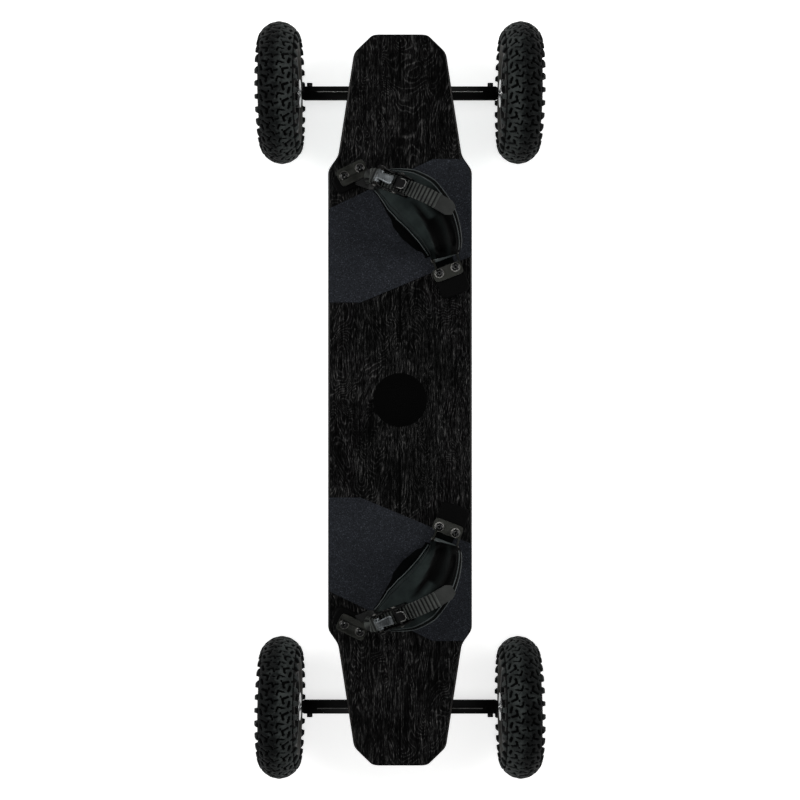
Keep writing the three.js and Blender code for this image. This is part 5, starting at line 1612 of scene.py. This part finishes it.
        root = (self.ratchet_frame @ np.array([-4, 10, 10.2, 1.0]))[:3]
        angle = math.radians(self.ladder_heading)
        heading = np.array([math.cos(angle), math.sin(angle), 0])
        ahead = self.buckle_frame[:3, 0]
        middle = self.buckle_frame[:3, 3]
        lead = root + heading * 18
        entry, exit_ = middle - ahead * self.straight, middle + ahead * self.straight
        centre, side, out, half_width, _ = self.strap_frame(np.array([0.33, 0.331]))
        tip = centre[0] + side[0] * half_width[0] * 0.86 + out[0] * 12.5
        level = unit((tip - exit_) * [1, 1, 0])
        slope = unit(np.array([*level[:2], math.tan(math.radians(self.tip_slope))]))
        parts = [
            np.linspace(root, lead, 8, endpoint=False),
            bezier([lead, lead + heading * 12, entry - ahead * 16, entry], 24),
            np.linspace(entry, exit_, 20, endpoint=False),
            bezier([exit_, exit_ + ahead * 30, tip - slope * 22, tip], 40),
            tip[None],
        ]
        return np.vstack(parts)

    def ladder(self) -> Patch:
        """Makes the ladder strap: saw-toothed ribs across it between a plain root and a plain tip."""
        path = self.ladder_path()
        run = run_along(path)
        total = run[-1]
        ribbed_start = 36.0
        count = int((total - 22.0 - ribbed_start) / self.rib_pitch)
        ribbed_stop = ribbed_start + count * self.rib_pitch
        plain = np.linspace(0, ribbed_start, 20, endpoint=False)
        steps = np.array([0.0, 0.1, 0.45, 0.8, 0.9, 0.98])
        ribs = (ribbed_start + (np.arange(count)[:, None] + steps) * self.rib_pitch).reshape(-1)
        tail = np.linspace(ribbed_stop, total - 8, 6, endpoint=False)
        rounding = total - 8 * (1 - np.sin(np.linspace(0, np.pi / 2, 9)))
        places = np.concatenate([plain, ribs, tail, rounding])
        share = np.mod((places - ribbed_start) / self.rib_pitch, 1.0)
        in_ribs = (places >= ribbed_start) & (places < ribbed_stop - 0.05)
        rise = np.where(in_ribs, 2.0 * smooth(share, 0.05, 0.7) * (1 - smooth(share, 0.86, 1.0)), 0.0)
        centre = np.stack([np.interp(places, run, path[:, i]) for i in range(3)], 1)
        for _ in range(2):
            centre[1:-1] = (centre[:-2] + 2 * centre[1:-1] + centre[2:]) / 4
        ahead = unit(np.gradient(centre, axis=0))
        side = unit(np.cross([0, 0, 1.0], ahead))
        out = np.cross(ahead, side)
        half = np.full(len(places), self.ladder_width / 2)
        half = half * (1 - 0.42 * np.clip((places - (total - 7.5)) / 7.5, 0, 1))
        half = np.where(in_ribs, half - 0.5 * (share < 0.12), half)
        high = self.ladder_thickness / 2
        crest = high + 0.01
        section = softened([(-1, -high), (1, -high), (1, high), (0.78, crest), (-0.78, crest), (-1, high)], 0.12)
        is_top = section[:, 1] > 0
        middle = np.abs(section[:, 0]) < 0.93
        up = section[:, 1] + rise[:, None] * (is_top & middle)
        patch = swept(centre, side, out, np.stack([section[:, 0] * half[:, None], up], -1))
        worn = np.where(in_ribs, np.clip(rise / 1.4, 0, 1), np.where(places < ribbed_start, 0.04, 0.3))
        patch.values["wear"] = (worn[:, None] * is_top[None]).reshape(-1)
        return patch

    def bracket_bolts(self) -> list[Patch]:
        """Makes the two socket bolts of a bracket with their washers, heads up, in the bracket's frame."""
        inner = [(0.0, 5.7), (1.6, 5.7), (1.9, 6.4), (3.6, 6.1)]
        outer = [(4.9, 5.5), (5.3, 4.2), (5.3, 1.3), (0.0, 1.3)]
        bolt = [
            tube(3.0, 6.75, 0.02, 1.6, 0.4, 48, 1),
            lathe([*inner, *outer], 0.6, 40, closed=False),
            prism(hexagon(1.6), 5.2, 5.8, 0, 2),
        ]
        reach = self.bolt_spacing / 2
        return [patch.placed(shift(x, 0, self.plate_top)) for x in (-reach, reach) for patch in bolt]

    def lever(self) -> list[Patch]:
        """Makes the pump lever: a cast plate that tapers to its pivot barrel, its top crowned and dished."""
        share = np.linspace(0, 1, 30)
        x = -4.2 + 30.2 * share
        half = 4.9 + 1.3 * smooth(share, 0.2, 0.8) - 1.4 * smooth(share, 0.93, 1.0)
        top = 5.4 - 2.6 * smooth(1 - share, 0.86, 1.0) + 0.5 * np.sin(share * np.pi) + 0.5 * smooth(share, 0.8, 1.0)
        depth = 4.6 - 1.6 * share
        across, up = softened([(-1, 0), (1, 0), (1, 0.72), (0.72, 1), (-0.72, 1), (-1, 0.72)], 0.16).T
        dish = np.exp(-(((share - 0.72) / 0.16) ** 2))[:, None] * np.exp(-((across / 0.5) ** 2))
        height = top[:, None] - depth[:, None] * (1 - up) - dish * (up > 0.9)
        barrel = tube(2.5, 4.7, -8.6, 8.6, 0.5, 40).placed(turn("X", 90))
        outline = softened([(-6.2, 1.4), (-1, 1.6), (-1, -1.6), (-4.4, -1.6)], 0.4)
        tooth = prism(outline, -6, 6, 0.3).placed(turn("X", 90))
        cap = rod(3.4, 4.6, 6.0, 0.6, 32, 1).placed(shift(1.5, 0, -0.6))
        return [stations(x, half[:, None] * across, height), barrel, tooth, cap]

    def release(self) -> list[Patch]:
        """Makes the release lever: a rounded tab over the ladder with a raised rim, on its barrel."""
        share = np.linspace(0, 1, 16)
        x = 1.0 + 13.5 * share
        half = 7.9 - 2.6 * smooth(share, 0.72, 1.0)
        top = 4.2 + 1.6 * share + 0.7 * np.sin(share * np.pi)
        across, up = softened([(-1, 0), (1, 0), (1, 1), (-1, 1)], 0.2).T
        height = top[:, None] - (3.0 - 0.8 * share[:, None]) * (1 - up)
        barrel = tube(2.5, 4.2, -7.9, 7.9, 0.4, 36).placed(turn("X", 90))
        outline = softened([(-9, -5.0), (-9, -2.9), (0, 2.0), (0, -2.0)], 0.4)
        pawl = prism(outline, -7.5, 7.5, 0.3).placed(turn("X", 90))
        # Painted highlight: the raised rim is traced by a pale cord that stands for the light on it.
        edge = np.stack([x, half * 0.82, top], 1)[3:]
        rim = cord_along(np.vstack([edge, edge[::-1] * [1, -1, 1]]), 0.55, 8, 1)
        return [stations(x, half[:, None] * across, height), barrel, pawl, rim]

    def frame_extras(self) -> list[Patch]:
        """Makes the ratchet frame's visible trim: domed pin heads, rivets and the lever's coil spring."""
        made = []
        for (x, z), radius in ((self.lever_pin, 3.6), (self.release_pin, 3.0)):
            profile = [(0.0, 0.0), (radius, 0.0), (radius, 0.9), (radius * 0.6, 1.8), (0.0, 2.1)]
            made.append((x, z, lathe(profile, 0.4, 32, closed=False)))
        made += [(x, z, rod(1.1, 0, 0.7, 0.25, 16, 1)) for x, z in ((-8, 1.5), (-2, 1.0), (5, 1.2))]
        trim = [
            head.placed(facing((x, side * self.cheek, z), (0, side, 0))) for x, z, head in made for side in (-1, 1)
        ]
        x, z = self.lever_pin
        angle = np.linspace(0, 2 * np.pi * 2.2, 60)
        for side in (-1, 1):
            coil = np.stack([x + 3.6 * np.cos(angle), side * (9.6 + 0.07 * angle), z + 3.6 * np.sin(angle)], 1)
            trim.append(cord_along(coil, 0.35, 6, 1))
        return trim

    def hinge_bar(self) -> list[Patch]:
        """Makes the bright hinge bar with its upset ends."""
        start, direction = self.bar_line
        spot = facing(start, direction)
        return [
            rod(self.bar_radius + 0.06, -18.6, 18.6, 0.7, 32).placed(spot),
            rod(3.6, 18.2, 19.8, 0.5, 32).placed(spot),
            rod(3.6, -19.8, -18.2, 0.5, 32).placed(spot),
        ]

    def keyholes(self) -> list[Patch]:
        """Makes the dark keyhole slots of a plate as thin inlays under its bolts, in the bracket's frame."""
        slot = softened([(-1.6, 4.5), (1.6, 4.5), (1.6, 9.8), (-1.6, 9.8)], 1.2)
        reach, top = self.bolt_spacing / 2, self.plate_top
        return [prism(slot + [x, 0], top - 0.1, top + 0.15, 0, 2) for x in (-reach, reach)]

    def build(self, end: End) -> None:
        """Makes one binding. The rear one mirrors the front one across the board's middle."""
        flip = np.eye(4) if end is End.FRONT else MIRROR_Y
        name = end.value
        hinge, ratchet, buckle = (flip @ m for m in (self.hinge_frame, self.ratchet_frame, self.buckle_frame))
        for kind in ("hinge", "ratchet"):
            recut(f"{kind}_base_{name}", f"{kind}_block_{name}", "board", Finishes.block, 1.4)
            recut(f"{kind}_bracket_{name}", f"{kind}_plate_{name}", "board", Finishes.plate, 0.8)
        trim = [Finishes.head, Finishes.washer, Finishes.block]
        fixings = [*self.bracket_bolts(), *self.keyholes()]
        Piece(f"hinge_bolts_{name}", "board", fixings, trim, "bracket", (), hinge).build()
        Piece(f"ratchet_bolts_{name}", "board", fixings, trim, "bracket", (), ratchet).build()
        Piece(f"hinge_rod_{name}", "board", self.hinge_bar(), [Finishes.washer], "bracket", (), flip).build()
        cloths = [Finishes.shell, Finishes.lining, Finishes.piping, Finishes.thread]
        nodes = (f"strap_pad_{name}",)
        pad = Piece(f"padded_strap_{name}", "board", self.pad(), cloths, "strap", nodes, flip, sharp=65).build()
        ladder, nodes = [self.ladder()], (f"ladder_strap_{name}",)
        Piece(f"ribbed_ladder_{name}", "board", ladder, [Finishes.ladder], "ladder", nodes, flip, sharp=50).build()
        recut(f"buckle_frame_{name}", f"ratchet_frame_{name}", "board", Finishes.casting, 0.5)
        metals = [Finishes.washer, Finishes.wire]
        Piece(f"ratchet_trim_{name}", "board", self.frame_extras(), metals, "buckle", (), buckle).build()
        lever, metals = f"buckle_lever_{name}", [Finishes.lever, Finishes.washer]
        place = buckle @ shift(self.lever_pin[0], 0, self.lever_pin[1])
        Piece(f"pump_lever_{name}", lever, self.lever(), metals, "lever", (lever,), place).build()
        release, coats = f"release_lever_{name}", [Finishes.nylon, Finishes.painted_highlight]
        place = buckle @ shift(self.release_pin[0], 0, self.release_pin[1])
        Piece(f"release_tab_{name}", release, self.release(), coats, "buckle", (release,), place).build()


@dataclass
class Studio:
    """Pale floor, soft lamps and a camera straight above the board."""

    mm_per_pixel: float = 1.3953
    camera_above: float = 1800.0
    frame_pixels: float = 800.0
    sensor: float = 36.0
    tent: float = 1.0
    tent_top: float = 0.2
    boxes: tuple[tuple[str, tuple[float, float, float], float, float], ...] = (
        ("left_box", (-1.7, 0.4, 1.5), 1.2, 21.0),
        ("right_box", (1.7, 0.3, 1.5), 1.2, 17.0),
        ("top_box", (0.0, 0.0, 3.2), 0.5, 12.0),
        ("low_box", (0.0, 0.3, -1.6), 1.6, 20.0),
    )

    def build(self) -> None:
        """Makes the camera first, then the floor, world and lamps."""
        self.camera()
        self.floor()
        self.lamps()
        bpy.context.scene.view_settings.view_transform = "Standard"

    def camera(self) -> None:
        """Looks straight down on the deck from camera_above, at mm_per_pixel on the plane of its top."""
        scene = bpy.context.scene
        data = bpy.data.cameras.new("camera")
        data.sensor_width = self.sensor
        data.lens = self.camera_above / self.mm_per_pixel / self.frame_pixels * self.sensor
        data.clip_end = 50
        camera = bpy.data.objects.new("camera", data)
        camera.location = (0, 0, (deck_top() + self.camera_above) * MM)
        scene.collection.objects.link(camera)
        scene.camera = camera

    def floor(self) -> None:
        """Lays a pale floor that is white to the camera, keeps the shadow, and is clear from below."""
        mesh = bpy.data.meshes.new("floor")
        reach = 6.0
        corners = [(-reach, -reach), (reach, -reach), (reach, reach), (-reach, reach)]
        mesh.from_pydata([(x, y, -0.0004) for x, y in corners], [], [(0, 1, 2, 3)])
        made = bpy.data.objects.new("floor", mesh)
        bpy.context.scene.collection.objects.link(made)
        material = bpy.data.materials.new("matt_white_paper")
        material.use_nodes = True
        tree = material.node_tree
        shader = tree.nodes["Principled BSDF"]
        shader.inputs["Base Color"].default_value = linear("f4f4f3")
        shader.inputs["Roughness"].default_value = 0.9
        place = add(tree, "TexCoord").outputs["Object"]
        fibre = add(tree, "TexNoise", {"Vector": place, "Scale": 300.0, "Detail": 3.0})
        bump = add(tree, "Bump", {"Height": fibre.outputs["Fac"], "Distance": 0.00005})
        tree.links.new(bump.outputs["Normal"], shader.inputs["Normal"])
        glow = add(tree, "Emission", {"Color": "ffffff", "Strength": 0.62})
        lit = add(tree, "AddShader", {0: shader.outputs[0], 1: glow.outputs[0]})
        rays = add(tree, "LightPath").outputs
        kinds = {0: rays["Is Camera Ray"], 1: rays["Is Glossy Ray"]}
        seen = add(tree, "Math", kinds, operation="ADD", use_clamp=True)
        shown = add(tree, "MixShader", {0: seen.outputs[0], 1: shader.outputs[0], 2: lit.outputs[0]})
        back = add(tree, "NewGeometry").outputs["Backfacing"]
        clear = add(tree, "BsdfTransparent").outputs[0]
        below = add(tree, "MixShader", {0: back, 1: shown.outputs[0], 2: clear})
        tree.links.new(below.outputs[0], tree.nodes["Material Output"].inputs["Surface"])
        mesh.materials.append(material)

    def lamps(self) -> None:
        """Lights the board with a pale tent that dims upwards, a soft box on each side and one below.

        The tent is white near the horizon and dim above 22 degrees, so that a dark surface mirrors no
        white from above. The camera sees the tent white all over.
        """
        world = bpy.data.worlds.new("studio")
        bpy.context.scene.world = world
        world.use_nodes = True
        tree = world.node_tree
        up = add(tree, "SeparateXYZ", {"Vector": add(tree, "TexCoord").outputs["Generated"]}).outputs["Z"]
        tent = add(
            tree,
            "MapRange",
            {"Value": up, "From Min": 0.12, "From Max": 0.38, "To Min": self.tent, "To Max": self.tent_top},
            interpolation_type="SMOOTHSTEP",
        ).outputs["Result"]
        camera = add(tree, "LightPath").outputs["Is Camera Ray"]
        strength = add(tree, "Mix", {"Factor": camera, "A": tent, "B": 1.0}).outputs["Result"]
        sky = tree.nodes["Background"]
        sky.inputs["Color"].default_value = (1, 1, 1, 1)
        tree.links.new(strength, sky.inputs["Strength"])
        for name, place, size, power in self.boxes:
            data = bpy.data.lights.new(name, "AREA")
            data.energy = power
            data.size = size
            lamp = bpy.data.objects.new(name, data)
            lamp.location = place
            aim = Vector((0, 0, 0.15)) - Vector(place)
            lamp.rotation_euler = aim.to_track_quat("-Z", "Y").to_euler()
            bpy.context.scene.collection.objects.link(lamp)


def main() -> None:
    """Loads the frame and builds the board piece by piece."""
    logging.basicConfig(level=logging.INFO, format="%(name)s: %(message)s")
    FRAME.update(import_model())
    Studio().build()
    Deck().build()
    truck, wheel, binding = Truck(), Wheel(), Binding()
    for end in End:
        truck.build(end)
        for side in Side:
            wheel.build(end, side)
        binding.build(end)


if __name__ == "__main__":
    main()
